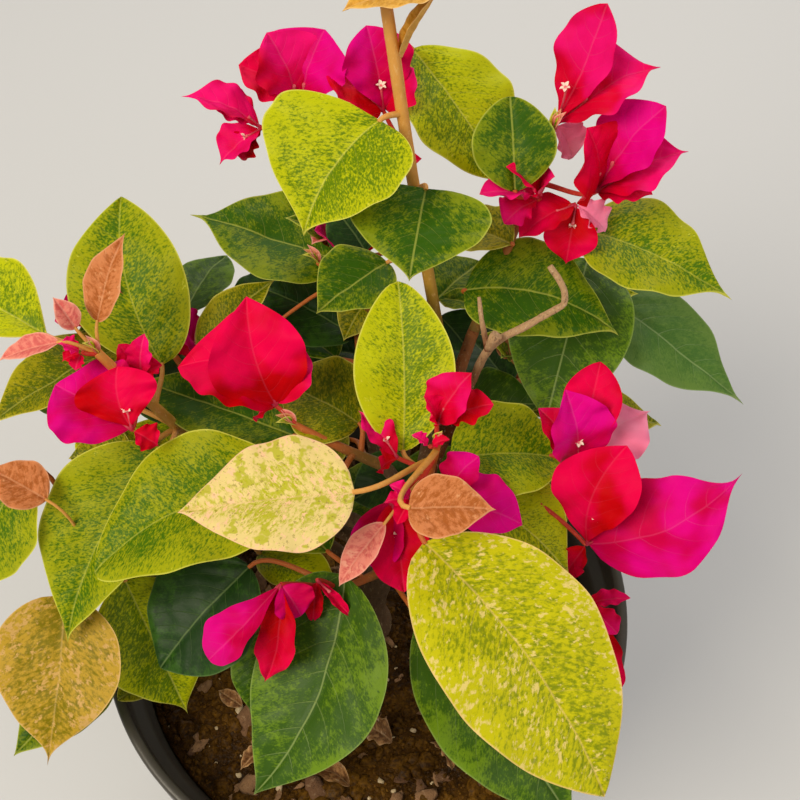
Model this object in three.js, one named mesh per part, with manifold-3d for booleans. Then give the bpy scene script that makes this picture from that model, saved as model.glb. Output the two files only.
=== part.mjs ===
// A young bougainvillea bush, built together with its pot.
// Millimetres, +Z up. The origin is the middle of the pot's flat underside.
import * as THREE from "three";
import { mergeVertices } from "three/addons/utils/BufferGeometryUtils.js";
import Module from "manifold-3d";

const wasm = await Module();
wasm.setup();

// ---------- Driving sizes ----------
const GAP = 0.3; // clearance between neighbouring solids
const POT_RIM = 85; // outer radius of the lip
const POT_HEIGHT = 140;
const POT_FOOT = 59; // outer radius of the underside
const POT_NECK = 79.5; // outer radius of the wall just under the lip
const POT_WALL = 2;
const LIP_TALL = 13;
const LIP_THICK = 3.5;
const LIP_SLOPE = { outside: 1, inside: 4 }; // how far its lower edge runs down to the wall
const LIP_STEPS = 4; // faces of the lip's rounded top
const SOIL_TOP = 118;
const SOIL_CROWN = 1.5; // how far the soil rises from its edge to the trunk
const SOIL_FLAT = 14; // radius of the level soil round the trunk
const SOIL_STEPS = 3;
const ROUND_SIDES = 36; // sides of the pot and the soil

// The trunk rises straight, leans to the right and forks at its top.
const TRUNK_COURSE = [[0, 0, 146], [9, 0, 170], [17, 4, 197]];
const TRUNK_RADIUS = { flare: 8.5, foot: 5.2, top: 3.6 };
const FLARE_TALL = 0.3; // share of the trunk that the root flare takes
const BOUGH_RADIUS = { start: 2.4, tip: 1.7 };
const BOUGH_RISE = 0.5; // a bough leaves the trunk at this slope
const STEM_RADIUS = { start: 1.6, tip: 0.9 };
const STEM_SAG = 0.06; // a stem hangs this share of its length under a straight line
const PETIOLE_RADIUS = 0.8;
const STALK_RADIUS = 0.9;
const KNOB_RADIUS = 2.3; // end of a blossom stalk, where the bracts stand
const TWIG_RADIUS = { start: 1.3, tip: 0.7 };
const HANDLE = 0.3; // length of a curve's handles, as a share of its run

// Sides of a limb's section and steps along it.
const FACETS = {
  trunk: [10, 9],
  bough: [6, 6],
  stem: [5, 5],
  stalk: [3, 3],
  twig: [4, 12],
  spur: [4, 3],
};
const BLADE_STEPS = { named: 4, ruled: 3, bract: 3 };
const BLADE_SIDES = 4; // two edges and a ridge on each face

const LEAF_THICK = 0.022; // thickness at the midrib, as a share of the length
const THINNEST = 1.1;
const TIP_THICK = 0.35; // thickness at the tip, as a share of that at the midrib
const BLADE_END = { root: 0.6, tip: 0.3 }; // half widths of a blade's two ends
const OUTLINE = { low: 0.78, full: 0.86 }; // under 1: widest below the middle, and fuller
const SUNK = 1.2; // how far a leaf's root is sunk in its stalk

// ---------- Places ----------
// A place in the crown is read from one eye in front of the bush and above it: across and down
// on a picture plane 800 units square, and the height over the floor in millimetres.
const EYE = new THREE.Vector3(11, -149, 473);
const PITCH = THREE.MathUtils.degToRad(55.8);
const PLANE_AWAY = 1100;
const PLANE_MIDDLE = 400;

function sight([across, down, height]) {
  const right = across - PLANE_MIDDLE;
  const below = down - PLANE_MIDDLE;
  const fall = PLANE_AWAY * Math.sin(PITCH) + below * Math.cos(PITCH);
  const ahead = PLANE_AWAY * Math.cos(PITCH) - below * Math.sin(PITCH);
  const share = (EYE.z - height) / fall;
  return new THREE.Vector3(EYE.x + share * right, EYE.y + share * ahead, height);
}

// A place given by its heading, counterclockwise from +X, its distance from the trunk and height.
function around([degrees, out, height]) {
  const turn = THREE.MathUtils.degToRad(degrees);
  return new THREE.Vector3(out * Math.cos(turn), out * Math.sin(turn), height);
}

// Each shoot: where its bough leaves the trunk (share of the trunk's height), where the leafy stem
// starts and ends, and how many leaves grow on it by the rule besides the named ones.
const SHOOTS = {
  centre: { leaves: 0, at: 1, from: new THREE.Vector3(...TRUNK_COURSE[2]), to: sight([438, 444, 228]) },
  left: { leaves: 0, at: 0.93, from: sight([380, 464, 208]), to: sight([294, 424, 224]) },
  far_left: { leaves: 2, at: 0.72, from: sight([200, 446, 196]), to: sight([97, 352, 238]) },
  top: { leaves: 2, at: 0.97, from: sight([438, 330, 226]), to: sight([384, -10, 312]) },
  right_top: { leaves: 3, at: 0.88, from: sight([474, 330, 224]), to: sight([553, 130, 272]) },
  back_left: { leaves: 3, at: 0.66, from: sight([388, 322, 210]), to: sight([318, 262, 230]) },
  right: { leaves: 1, at: 0.9, from: sight([466, 466, 206]), to: sight([540, 430, 214]) },
  right_low: { leaves: 3, at: 0.62, from: sight([510, 392, 190]), to: sight([596, 296, 212]) },
  front_low: { leaves: 2, at: 0.5, from: sight([392, 566, 170]), to: sight([338, 590, 182]) },
  left_front: { leaves: 2, at: 0.42, from: sight([276, 528, 163]), to: sight([96, 575, 170]) },
  back: { leaves: 13, at: 0.76, from: around([88, 38, 186]), to: around([94, 84, 226]) },
  back_right: { leaves: 11, at: 0.54, from: around([48, 36, 172]), to: around([42, 84, 204]) },
  left_back: { leaves: 11, at: 0.58, from: around([142, 36, 174]), to: around([138, 86, 208]) },
  right_side: { leaves: 7, at: 0.46, from: around([14, 34, 164]), to: around([12, 76, 184]) },
};

// Leaves that have their own place: shoot, root, tip, width, roll, fold, bow, sway.
// Roll and fold are in degrees; bow and sway are shares of the length.
const LEAVES = [
  ["centre", [403, 452, 216], [398, 281, 245], 28, 0, 12, 0.05, 0.02],
  ["centre", [355, 494, 236], [177, 512, 233], 32, 0, 8, 0.03, 0],
  ["centre", [408, 508, 236], [496, 509, 238], 17, 0, 6, 0.03, 0],
  ["centre", [385, 523, 226], [339, 586, 212], 12, 0, 14, 0.06, 0],
  ["centre", [424, 542, 226], [605, 797, 199], 45, 0, 4, 0.07, -0.04],
  ["left", [300, 466, 218], [94, 573, 204], 41, 0, 10, 0.06, 0],
  ["left", [295, 436, 206], [138, 381, 205], 26, 0, 10, 0.03, 0],
  ["left", [363, 418, 210], [281, 380, 216], 30, 0, 10, 0.06, 0],
  ["far_left", [162, 365, 216], [121, 196, 240], 34, 0, 10, 0.05, -0.08],
  ["far_left", [97, 322, 244], [124, 233, 262], 12, 0, 16, 0.05, 0],
  ["far_left", [76, 329, 246], [53, 297, 254], 7, 0, 16, 0.05, 0],
  ["far_left", [59, 342, 244], [-2, 360, 240], 8, 0, 20, 0.05, 0],
  ["far_left", [50, 338, 236], [-60, 262, 238], 26, 0, 10, 0.04, 0],
  ["far_left", [118, 400, 200], [26, 362, 196], 30, 0, 8, 0.05, 0],
  ["far_left", [168, 450, 214], [67, 643, 180], 38, 0, 22, 0.06, 0.06],
  ["far_left", [132, 452, 204], [68, 458, 202], 18, 0, 8, 0.05, 0],
  ["left_front", [22, 470, 204], [-30, 592, 180], 34, 0, 10, 0.06, 0],
  ["left_front", [47, 500, 208], [-12, 468, 214], 15, 0, 8, 0.05, 0],
  ["left_front", [64, 595, 176], [47, 766, 150], 38, 0, 10, 0.06, -0.04],
  ["left_front", [130, 655, 150], [13, 756, 146], 26, 0, 8, 0.05, 0],
  ["left_front", [125, 580, 160], [189, 716, 132], 33, 0, 10, 0.06, 0],
  ["front_low", [250, 566, 182], [160, 668, 162], 38, 0, 6, 0.06, 0],
  ["front_low", [345, 575, 186], [255, 792, 150], 42, 8, 12, 0.07, -0.14],
  ["front_low", [420, 620, 178], [575, 825, 150], 38, 0, 6, 0.07, 0],
  ["top", [404, 24, 300], [342, 10, 310], 24, -30, 14, 0.05, 0],
  ["top", [402, 58, 296], [440, -24, 318], 12, 0, 30, 0.05, 0],
  ["top", [374, 122, 272], [303, 236, 254], 43, -10, 20, 0.05, 0.06],
  ["top", [428, 190, 260], [409, 281, 256], 38, 0, 22, 0.05, 0],
  ["top", [388, 262, 238], [316, 313, 236], 25, 0, 12, 0.04, 0],
  ["top", [412, 48, 274], [500, 178, 254], 34, 0, 8, 0.06, 0],
  ["right_top", [515, 192, 254], [510, 96, 272], 22, 0, 10, 0.05, 0],
  ["right_top", [582, 228, 246], [732, 299, 238], 34, 0, 8, 0.06, 0],
  ["right_top", [464, 290, 226], [619, 334, 219], 35, 0, 14, 0.05, 0],
  ["right_low", [586, 268, 206], [554, 402, 184], 40, 0, 8, 0.06, 0],
  ["right_low", [606, 298, 208], [744, 404, 196], 31, 0, 6, 0.02, 0],
  ["right", [450, 456, 212], [583, 460, 206], 32, 0, 12, 0.06, 0],
  ["right", [478, 490, 202], [569, 572, 188], 29, 0, 10, 0.06, 0],
  ["right", [452, 410, 200], [543, 404, 204], 24, 0, 12, 0.05, 0],
  ["back_left", [342, 262, 222], [190, 214, 228], 36, 0, 10, 0.02, 0],
  ["back_left", [198, 348, 216], [275, 279, 224], 15, 0, 12, 0.05, 0],
  ["back_left", [372, 292, 210], [343, 341, 204], 14, 0, 10, 0.05, 0],
];

// Blossom heads: name, shoot, place of the head, then one row for each bract's tip:
// place, width, fold, bow.
const BLOOMS = [
  ["left", "left", [276, 406, 228], [
    [[186, 352, 234], 30, 26, 0.12], [[268, 300, 250], 30, 24, 0.1], [[298, 352, 236], 16, 20, 0.1]]],
  ["far_left", "far_left", [122, 418, 214], [
    [[58, 383, 224], 22, 10, 0.02], [[92, 446, 212], 18, 12, 0.02], [[124, 366, 230], 18, 12, 0.04]]],
  ["far_left_small", "far_left", [141, 376, 226], [
    [[120, 346, 232], 6, 20, 0.1], [[144, 336, 236], 7, 20, 0.1], [[160, 366, 228], 6, 20, 0.1]]],
  ["top_left", "top", [300, 110, 264], [
    [[241, 64, 276], 13, 16, 0.08], [[262, 34, 284], 15, 16, 0.08], [[324, 32, 282], 17, 14, 0.08]]],
  ["top_left_small", "top", [262, 128, 260], [
    [[184, 97, 268], 10, 24, 0.1], [[222, 162, 254], 9, 24, 0.1], [[243, 158, 254], 9, 24, 0.1]]],
  ["top", "top", [384, 112, 266], [
    [[322, 92, 276], 17, 14, 0.08], [[371, 28, 286], 14, 16, 0.06], [[411, 82, 276], 12, 16, 0.08]]],
  ["right_top_upper", "right_top", [556, 124, 270], [
    [[606, 6, 300], 14, 14, -0.04], [[658, 68, 284], 14, 22, 0.1], [[566, 150, 262], 10, 20, 0.06]]],
  ["right_top", "right_top", [590, 182, 258], [
    [[588, 130, 278], 20, 16, 0.1], [[664, 110, 280], 18, 16, 0.08], [[686, 152, 270], 16, 18, 0.06]]],
  ["right_top_small", "right_top", [540, 198, 258], [
    [[482, 194, 264], 8, 24, 0.1], [[506, 168, 268], 8, 24, 0.1], [[552, 176, 266], 8, 20, 0.1]]],
  ["right_top_low", "right_top", [576, 204, 256], [
    [[566, 263, 244], 10, 24, 0.1], [[521, 236, 250], 10, 24, 0.1], [[604, 230, 250], 8, 20, 0.1]]],
  ["centre", "centre", [437, 424, 234], [
    [[470, 375, 246], 8, 22, 0.08], [[491, 405, 240], 8, 22, 0.08], [[425, 398, 244], 6, 22, 0.08]]],
  ["centre_low", "centre", [392, 500, 222], [
    [[374, 566, 208], 12, 20, 0.08], [[404, 590, 206], 13, 18, 0.08]]],
  ["centre_back", "centre", [398, 458, 218], [
    [[360, 412, 222], 6, 24, 0.08], [[382, 468, 212], 6, 24, 0.08]]],
  ["centre_right", "centre", [440, 498, 214], [
    [[477, 458, 222], 9, 20, 0.08], [[520, 524, 214], 18, 14, 0.08]]],
  ["right", "right", [578, 462, 212], [
    [[592, 367, 232], 15, 18, 0.08], [[540, 408, 222], 14, 20, 0.08], [[649, 410, 214], 16, 10, 0.04]]],
  ["right_front", "right", [586, 545, 197], [
    [[620, 448, 222], 22, 18, 0.08], [[734, 480, 212], 30, 16, 0.08], [[566, 574, 188], 7, 24, 0.06]]],
  ["right_front_low", "right", [586, 602, 182], [
    [[628, 598, 186], 5, 30, 0.02], [[612, 632, 178], 5, 30, 0.02], [[612, 712, 160], 10, 20, 0.06]]],
  ["front_low", "front_low", [281, 584, 196], [
    [[198, 652, 182], 16, 20, 0.18], [[264, 678, 176], 12, 18, 0.1], [[299, 612, 190], 10, 18, 0.1]]],
  ["front_low_small", "front_low", [317, 580, 192], [
    [[313, 620, 182], 6, 24, 0.04], [[350, 616, 184], 5, 24, 0.02]]],
];

const DEAD_TWIG = [[470, 384, 212], [492, 345, 226], [528, 322, 233], [565, 303, 240], [552, 266, 250]];
const DEAD_SPUR = [[490, 347, 225], [481, 318, 232], [478, 300, 236]];
const DEAD_TWIG_AT = 0.82; // share of the trunk's height where it starts

// Blossom on the sides away from the eye grows by the rule: shoot, how many heads.
const RULED_HEADS = { back: 2, left_back: 2 };
const RULED_HEAD = {
  bracts: 3,
  length: 27,
  width: 19,
  fold: 16,
  bow: 0.08,
  spread: 55, // degrees between a bract and the head's stalk
  stalk: 17,
  rise: 0.7,
  play: { heading: 0.9, turn: 0.2 },
  marks: { first: 0.98, apart: 0.4 },
};
const RULED_LEAF = {
  length: [30, 46],
  droop: [-0.5, 0.12], // how far the tip rises, as a share of the length
  roll: [-14, 14],
  turn: [-15, 15],
  slender: 0.6,
  fold: 10,
  bow: 0.07,
  petiole: 11,
  rise: 4,
};
const GOLDEN_TURN = 137.5;
const SEED = 20;

// What a rule-grown leaf keeps to, tested at places along its middle and near its two edges.
const CROWN = { middle: new THREE.Vector3(-4, 22, 205), reach: new THREE.Vector3(112, 104, 112) };
const LOWEST_LEAF = { outside: POT_HEIGHT + 3, inside: SOIL_TOP + 8 };
const MOUTH = 72; // radius within which a leaf may hang into the pot's mouth
const CLEAR_OF_LEAVES = 7;
const TESTED = { along: 9, across: [-0.8, 0, 0.8] };

// Ways that a stalk may take, until one is clear: where on the stem it starts, and how far its
// middle bends aside and up. A blade that touches a neighbour is lifted or lowered.
const STALK_MARKS = { count: 12, first: 0.14, last: 0.98, detour: 12 };
const STALK_KNEE = { at: 0.35, arch: 0.06 };
const BENDS = [[0, 0], [0, 8], [0, -8], [9, 0], [-9, 0], [14, 8], [-14, 8], [14, -8], [-14, -8]];
const LIFTS = [0, 2.5, -2.5, 5, -5, 8, -8, 12, -12];
const ROOT_LIFT = 0.6; // share of the lift that the blade's root takes

// ---------- Colours ----------
const FINISH = {
  pot: { color: "#33353a", roughness: 0.5 },
  soil: { color: "#3b2a1c", roughness: 0.95 },
  bark: { color: "#7d6142", roughness: 0.85 },
  dead_wood: { color: "#a58464", roughness: 0.9 },
  leaves: { color: "#7d9a24", roughness: 0.5 },
  blossom: { color: "#d1104f", roughness: 0.55 },
};

// ---------- Solids ----------
const STEP = 1e-6;
const snap = (value) => Math.round(value / STEP) * STEP;

function solidOf(geometry) {
  geometry.deleteAttribute("normal");
  geometry.deleteAttribute("uv");
  const merged = mergeVertices(geometry, 1e-4);
  return new wasm.Manifold(
    new wasm.Mesh({
      numProp: 3,
      vertProperties: merged.attributes.position.array,
      triVerts: new Uint32Array(merged.index.array),
    }),
  );
}

function geometryOf(solid) {
  const mesh = solid.getMesh();
  const geometry = new THREE.BufferGeometry();
  geometry.setAttribute("position", new THREE.BufferAttribute(mesh.vertProperties, 3));
  geometry.setIndex(new THREE.BufferAttribute(mesh.triVerts, 1));
  geometry.computeVertexNormals();
  return geometry;
}

// The bodies of a solid, without the slivers that joining and cutting leave along their seams.
const SLIVER = 0.03;
const bodiesOf = (solid) => solid.asOriginal().simplify(SLIVER).decompose();

// The biggest body of a solid: loose scraps go, and hollows that fusing sealed are filled.
function whole(solid) {
  return bodiesOf(solid).reduce((best, body) => (body.volume() > best.volume() ? body : best));
}

// A cylinder whose rings are carried to new places. place(t, x, z) gives the point of the ring
// at t, from 0 to 1, for the corner (x, z) on the unit circle. A cap's middle is (0, 0).
function carried(sides, steps, place) {
  const geometry = new THREE.CylinderGeometry(1, 1, 1, sides, steps);
  const corner = geometry.attributes.position;
  for (let i = 0; i < corner.count; i++) {
    const spot = place(snap(corner.getY(i) + 0.5), snap(corner.getX(i)), snap(corner.getZ(i)));
    corner.setXYZ(i, spot.x, spot.y, spot.z);
  }
  return solidOf(geometry);
}

// A limb with a round section along a curve. grow makes it that much fatter and longer.
function limb(curve, radius, [sides, steps], grow = 0) {
  const frames = curve.computeFrenetFrames(steps);
  return carried(sides, steps, (t, x, z) => {
    const ring = Math.round(t * steps);
    const size = radius(t) + grow;
    const end = t === 0 ? -grow : t === 1 ? grow : 0;
    return curve
      .getPointAt(t)
      .addScaledVector(frames.tangents[ring], end)
      .addScaledVector(frames.binormals[ring], x * size)
      .addScaledVector(frames.normals[ring], z * size);
  });
}

const taper = ({ start, tip }) => (t) => start + (tip - start) * t;
const constant = (value) => () => value;

// ---------- Leaf blades and bracts ----------
const UP = new THREE.Vector3(0, 0, 1);

function bladeFrame({ root, tip, roll = 0 }) {
  const along = tip.clone().sub(root);
  const length = along.length();
  along.normalize();
  const side = along.clone().cross(UP).normalize().applyAxisAngle(along, THREE.MathUtils.degToRad(roll));
  return { along, length, side, normal: side.clone().cross(along) };
}

// A point of the blade: t from root to tip, across from -1 to 1.
function bladePoint(blade, frame, t, across) {
  const arch = 4 * t * (1 - t) * frame.length;
  const half = (blade.width / 2) * bladeHalf(t);
  const fold = THREE.MathUtils.degToRad(blade.fold);
  return blade.root
    .clone()
    .addScaledVector(frame.along, frame.length * t)
    .addScaledVector(frame.normal, arch * blade.bow + Math.abs(across) * half * Math.sin(fold))
    .addScaledVector(frame.side, arch * (blade.sway ?? 0) + across * half * Math.cos(fold));
}

// Half of an egg-shaped outline that ends in a point, 1 at its widest.
function bladeHalf(t) {
  return Math.sin(Math.PI * t ** OUTLINE.low) ** OUTLINE.full;
}

function bladeSolid(blade, steps, grow = 0) {
  const frame = bladeFrame(blade);
  const thick = Math.max(THINNEST, LEAF_THICK * frame.length);
  return carried(BLADE_SIDES, steps, (t, x, z) => {
    const middle = bladePoint(blade, frame, t, 0);
    const rim = bladePoint(blade, frame, t, x).sub(middle);
    const narrowest = (t === 0 ? BLADE_END.root : BLADE_END.tip) + grow;
    if (rim.length() + grow < narrowest || x === 0) rim.copy(frame.side).multiplyScalar(x * narrowest);
    else rim.addScaledVector(frame.side, x * grow);
    const end = t === 0 ? -SUNK - grow : t === 1 ? grow : 0;
    const half = (thick / 2) * (t === 1 ? TIP_THICK : 1) + grow;
    return middle
      .addScaledVector(frame.along, end)
      .add(rim)
      .addScaledVector(frame.normal, z * half);
  });
}

// ---------- Keeping the solids clear of each other ----------
const placed = [];
const TOUCH = 0.002; // mm3; less than this is two faces side by side
const CLEAR = GAP + 0.01; // cut away round a carrier, so that what remains doesn't touch its claim

function boxOf(solid) {
  const { min, max } = solid.boundingBox();
  return new THREE.Box3(new THREE.Vector3(...min), new THREE.Vector3(...max));
}

function clash(owners, solid) {
  const box = boxOf(solid);
  return placed.some(
    (other) =>
      !owners.includes(other.owner) &&
      other.box.intersectsBox(box) &&
      other.solid.intersect(solid).volume() > TOUCH,
  );
}

function claim(owner, grown) {
  placed.push({ owner, solid: grown, box: boxOf(grown) });
}

// ---------- Pot and soil ----------
function lathe(profile) {
  const points = profile.map(([r, z]) => new THREE.Vector2(r, z));
  const geometry = new THREE.LatheGeometry(points, ROUND_SIDES);
  return geometry.rotateX(Math.PI / 2);
}

const wallRadius = (height) =>
  POT_FOOT + ((POT_NECK - POT_FOOT) * height) / (POT_HEIGHT - LIP_TALL);

function makePot() {
  const under = POT_HEIGHT - LIP_TALL;
  const inner = POT_RIM - LIP_THICK;
  const round = LIP_THICK / 2;
  const lip = [];
  for (let i = 0; i <= LIP_STEPS; i++) {
    const turn = (Math.PI * i) / LIP_STEPS;
    lip.push([POT_RIM - round + round * Math.cos(turn), POT_HEIGHT - round + round * Math.sin(turn)]);
  }
  const ledge = under + LIP_SLOPE.inside / 2;
  return lathe([
    [0, 0],
    [POT_FOOT, 0],
    [POT_NECK, under],
    [POT_RIM, under + LIP_SLOPE.outside],
    ...lip,
    [inner, ledge],
    [POT_NECK - POT_WALL, ledge - LIP_SLOPE.inside],
    [wallRadius(POT_WALL) - POT_WALL, POT_WALL],
    [0, POT_WALL],
  ]);
}

function makeSoil() {
  const inside = (height) => wallRadius(height) - POT_WALL - GAP;
  const floor = POT_WALL + GAP;
  const edge = SOIL_TOP - SOIL_CROWN;
  const top = [];
  for (let i = 0; i <= SOIL_STEPS; i++) {
    const share = i / SOIL_STEPS;
    const radius = inside(edge) + (SOIL_FLAT - inside(edge)) * share;
    top.push([radius, edge + SOIL_CROWN * Math.sin((share * Math.PI) / 2)]);
  }
  return lathe([[0, floor], [inside(floor) - GAP, floor], ...top, [0, SOIL_TOP]]);
}

// ---------- Trunk and boughs ----------
const trunkFoot = new THREE.Vector3(0, 0, SOIL_TOP + GAP);
const trunkCurve = new THREE.CubicBezierCurve3(
  trunkFoot,
  ...TRUNK_COURSE.map((place) => new THREE.Vector3(...place)),
);

function trunkRadius(t) {
  const spread = Math.max(0, 1 - t / FLARE_TALL) ** 2;
  const { flare, foot, top } = TRUNK_RADIUS;
  return foot + (top - foot) * t + (flare - foot) * spread;
}

// The bough runs from inside the trunk to just short of where the leafy stem starts.
function boughCurve({ at, from, to }) {
  const start = trunkCurve.getPointAt(at);
  const heading = to.clone().sub(from).normalize();
  const tip = from.clone().addScaledVector(heading, -GAP);
  const run = start.distanceTo(tip);
  const out = tip.clone().sub(start).setZ(0).normalize().addScaledVector(UP, BOUGH_RISE);
  return new THREE.CubicBezierCurve3(
    start,
    start.clone().addScaledVector(out, run * HANDLE),
    tip.clone().addScaledVector(heading, -run * HANDLE),
    tip,
  );
}

function stemCurve({ from, to }) {
  const run = from.distanceTo(to);
  const middle = from.clone().lerp(to, 0.5).addScaledVector(UP, -STEM_SAG * run);
  return new THREE.QuadraticBezierCurve3(from.clone(), middle, to.clone());
}

// ---------- Growing a mass ----------
// The stalk of a leaf or a head, from the nearest place on the stem to its root.
// bend moves the middle of its way aside and up, to lead it round what stands there. Under a leaf
// that hangs back over its stalk, the stalk only turns until it is square to its way.
function stalkCurve(start, root, heading, [aside, up]) {
  const way = root.clone().sub(start);
  const run = way.length();
  const side = way.clone().cross(UP).normalize();
  const back = Math.min(0, heading.dot(way)) / run ** 2;
  const ending = heading.clone().addScaledVector(way, -back).normalize();
  const knee = start.clone().lerp(root, STALK_KNEE.at);
  return new THREE.CubicBezierCurve3(
    start,
    knee.addScaledVector(UP, run * STALK_KNEE.arch + up).addScaledVector(side, aside),
    root.clone().addScaledVector(ending, -run * HANDLE),
    root.clone(),
  );
}

// Every way that a stalk may take, the shortest first.
function stalkCurves(stem, root, heading) {
  const { count, first, last, detour } = STALK_MARKS;
  const marks = Array.from({ length: count }, (_, i) => first + ((last - first) * i) / (count - 1));
  const reach = (mark) => stem.getPointAt(mark).distanceTo(root) + detour * mark;
  return marks
    .sort((a, b) => reach(a) - reach(b))
    .flatMap((mark) => BENDS.map((bend) => stalkCurve(stem.getPointAt(mark), root, heading, bend)));
}

function lifted(blade, lift) {
  const root = blade.root.clone().addScaledVector(UP, lift * ROOT_LIFT);
  const tip = blade.tip.clone().addScaledVector(UP, lift);
  return { ...blade, root, tip };
}

// A leaf and its stalk, lifted or lowered a little where they would touch another node.
function growLeaf(owner, stem, blade, steps, lifts) {
  for (const lift of lifts) {
    const leaf = lifted(blade, lift);
    const { along } = bladeFrame(leaf);
    const solid = bladeSolid(leaf, steps);
    if (clash([owner], solid)) continue;
    for (const curve of stalkCurves(stem, leaf.root, along)) {
      const stalk = (grow) => limb(curve, constant(PETIOLE_RADIUS), FACETS.stalk, grow);
      if (clash([owner], stalk(0))) continue;
      claim(owner, bladeSolid(leaf, steps, GAP));
      claim(owner, stalk(GAP));
      return solid.add(stalk(0));
    }
  }
  return null;
}

// Random numbers that come out the same on every run, by a linear congruential rule.
const RULE = { times: 1664525, plus: 1013904223, below: 2 ** 32 };
let state = SEED;
function between([low, high]) {
  state = (state * RULE.times + RULE.plus) % RULE.below;
  return low + ((high - low) * state) / RULE.below;
}
const either = (most) => between([-most, most]);

const grownLeaves = [];

function samples(blade) {
  const frame = bladeFrame(blade);
  const points = [];
  for (let i = 0; i < TESTED.along; i++)
    for (const across of TESTED.across)
      points.push(bladePoint(blade, frame, i / (TESTED.along - 1), across));
  return points;
}

function fits(points) {
  const outside = (p) => {
    const off = p.clone().sub(CROWN.middle).divide(CROWN.reach);
    const lowest = Math.hypot(p.x, p.y) > MOUTH ? LOWEST_LEAF.outside : LOWEST_LEAF.inside;
    return off.length() > 1 || p.z < lowest;
  };
  if (points.some(outside)) return false;
  return !grownLeaves.some((leaf) =>
    leaf.some((q) => points.some((p) => p.distanceTo(q) < CLEAR_OF_LEAVES)),
  );
}

// The rule: leaves stand alternately round the stem, a golden turn apart, and droop a little.
function ruledLeaves({ leaves, from, to }, stem) {
  const heading = Math.atan2(to.y - from.y, to.x - from.x);
  const blades = [];
  for (let i = 0; i < leaves; i++) {
    const mark = (i + 0.5) / leaves;
    const turn = THREE.MathUtils.degToRad(GOLDEN_TURN * (i + 1) + between(RULED_LEAF.turn));
    const length = between(RULED_LEAF.length);
    const droop = between(RULED_LEAF.droop);
    const out = new THREE.Vector3(Math.cos(heading + turn), Math.sin(heading + turn), 0);
    const root = stem
      .getPointAt(mark)
      .addScaledVector(out, RULED_LEAF.petiole)
      .addScaledVector(UP, RULED_LEAF.rise);
    const blade = {
      root,
      tip: root.clone().addScaledVector(out, length).addScaledVector(UP, length * droop),
      width: length * RULED_LEAF.slender,
      roll: between(RULED_LEAF.roll),
      fold: RULED_LEAF.fold,
      bow: RULED_LEAF.bow,
      sway: 0,
    };
    const points = samples(blade);
    if (!fits(points)) continue;
    grownLeaves.push(points);
    blades.push(blade);
  }
  return blades;
}

// A head of bracts round the end of its stalk, by the rule.
function ruledHead({ from, to }, stem, mark) {
  const { bracts, length, width, fold, bow, stalk, rise, play } = RULED_HEAD;
  const heading = Math.atan2(to.y - from.y, to.x - from.x) + either(play.heading);
  const out = new THREE.Vector3(Math.cos(heading), Math.sin(heading), rise).normalize();
  const root = stem.getPointAt(mark).addScaledVector(out, stalk);
  const side = out.clone().cross(UP).normalize();
  const lean = THREE.MathUtils.degToRad(RULED_HEAD.spread);
  const rows = Array.from({ length: bracts }, (_, i) => {
    const way = side
      .clone()
      .applyAxisAngle(out, (2 * Math.PI * i) / bracts + either(play.turn))
      .multiplyScalar(Math.sin(lean))
      .addScaledVector(out, Math.cos(lean));
    return { root: root.clone(), tip: root.clone().addScaledVector(way, length), width, fold, bow };
  });
  return { root, bracts: rows };
}

const namedBlade = ([, root, tip, width, roll, fold, bow, sway]) => ({
  root: sight(root),
  tip: sight(tip),
  width,
  roll,
  fold,
  bow,
  sway,
});

const namedHead = ([, , place, rows]) => ({
  root: sight(place),
  bracts: rows.map(([tip, width, fold, bow]) => ({
    root: sight(place),
    tip: sight(tip),
    width,
    fold,
    bow,
  })),
});

function knob(place, grow) {
  const geometry = new THREE.IcosahedronGeometry(KNOB_RADIUS + grow, 0);
  return solidOf(geometry.translate(place.x, place.y, place.z));
}

// The bract stands off the middle of the knob, so that the three only meet in the knob.
function standOff(bract) {
  const way = bract.tip.clone().sub(bract.root).normalize();
  return { ...bract, root: bract.root.clone().addScaledVector(way, KNOB_RADIUS) };
}

// The bracts are fused round the head's end of the stalk; the stalk stops clear of its carrier.
function growBloom(owner, stem, head) {
  const heading = head.root.clone().sub(stem.getPointAt(0.5)).normalize();
  const carrier = limb(stem, taper(STEM_RADIUS), FACETS.stem, CLEAR);
  const stalk = (curve, grow) =>
    limb(curve, constant(STALK_RADIUS), FACETS.stalk, grow).add(knob(head.root, grow));
  const cut = (curve) => whole(stalk(curve, 0).subtract(carrier));
  const curve = stalkCurves(stem, head.root, heading).find((way) => !clash([owner], cut(way)));
  if (!curve) return null;
  let solid = cut(curve);
  claim(owner, stalk(curve, GAP));
  for (const bract of head.bracts)
    for (const lift of LIFTS) {
      const blade = standOff({ ...bract, tip: bract.tip.clone().addScaledVector(UP, lift) });
      const blossom = bladeSolid(blade, BLADE_STEPS.bract);
      if (clash([owner], blossom)) continue;
      claim(owner, bladeSolid(blade, BLADE_STEPS.bract, GAP));
      solid = solid.add(blossom);
      break;
    }
  return whole(solid);
}

// Of a stalk that was cut, the piece that holds the head.
function keepNear(solid, place) {
  const away = (body) => boxOf(body).distanceToPoint(place);
  return bodiesOf(solid).reduce((best, body) => (away(body) < away(best) ? body : best));
}

// ---------- Putting it together ----------
const bush = new THREE.Group();
bush.name = "bougainvillea_bush";

function addNode(name, finish, geometry) {
  const { color, roughness } = FINISH[finish];
  const material = new THREE.MeshStandardMaterial({ color, roughness, metalness: 0 });
  const mesh = new THREE.Mesh(geometry, material);
  mesh.name = name;
  bush.add(mesh);
}

addNode("pot", "pot", geometryOf(solidOf(makePot())));
addNode("soil", "soil", geometryOf(solidOf(makeSoil())));

claim("trunk", limb(trunkCurve, trunkRadius, FACETS.trunk, GAP));
addNode("trunk", "bark", geometryOf(limb(trunkCurve, trunkRadius, FACETS.trunk)));

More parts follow.
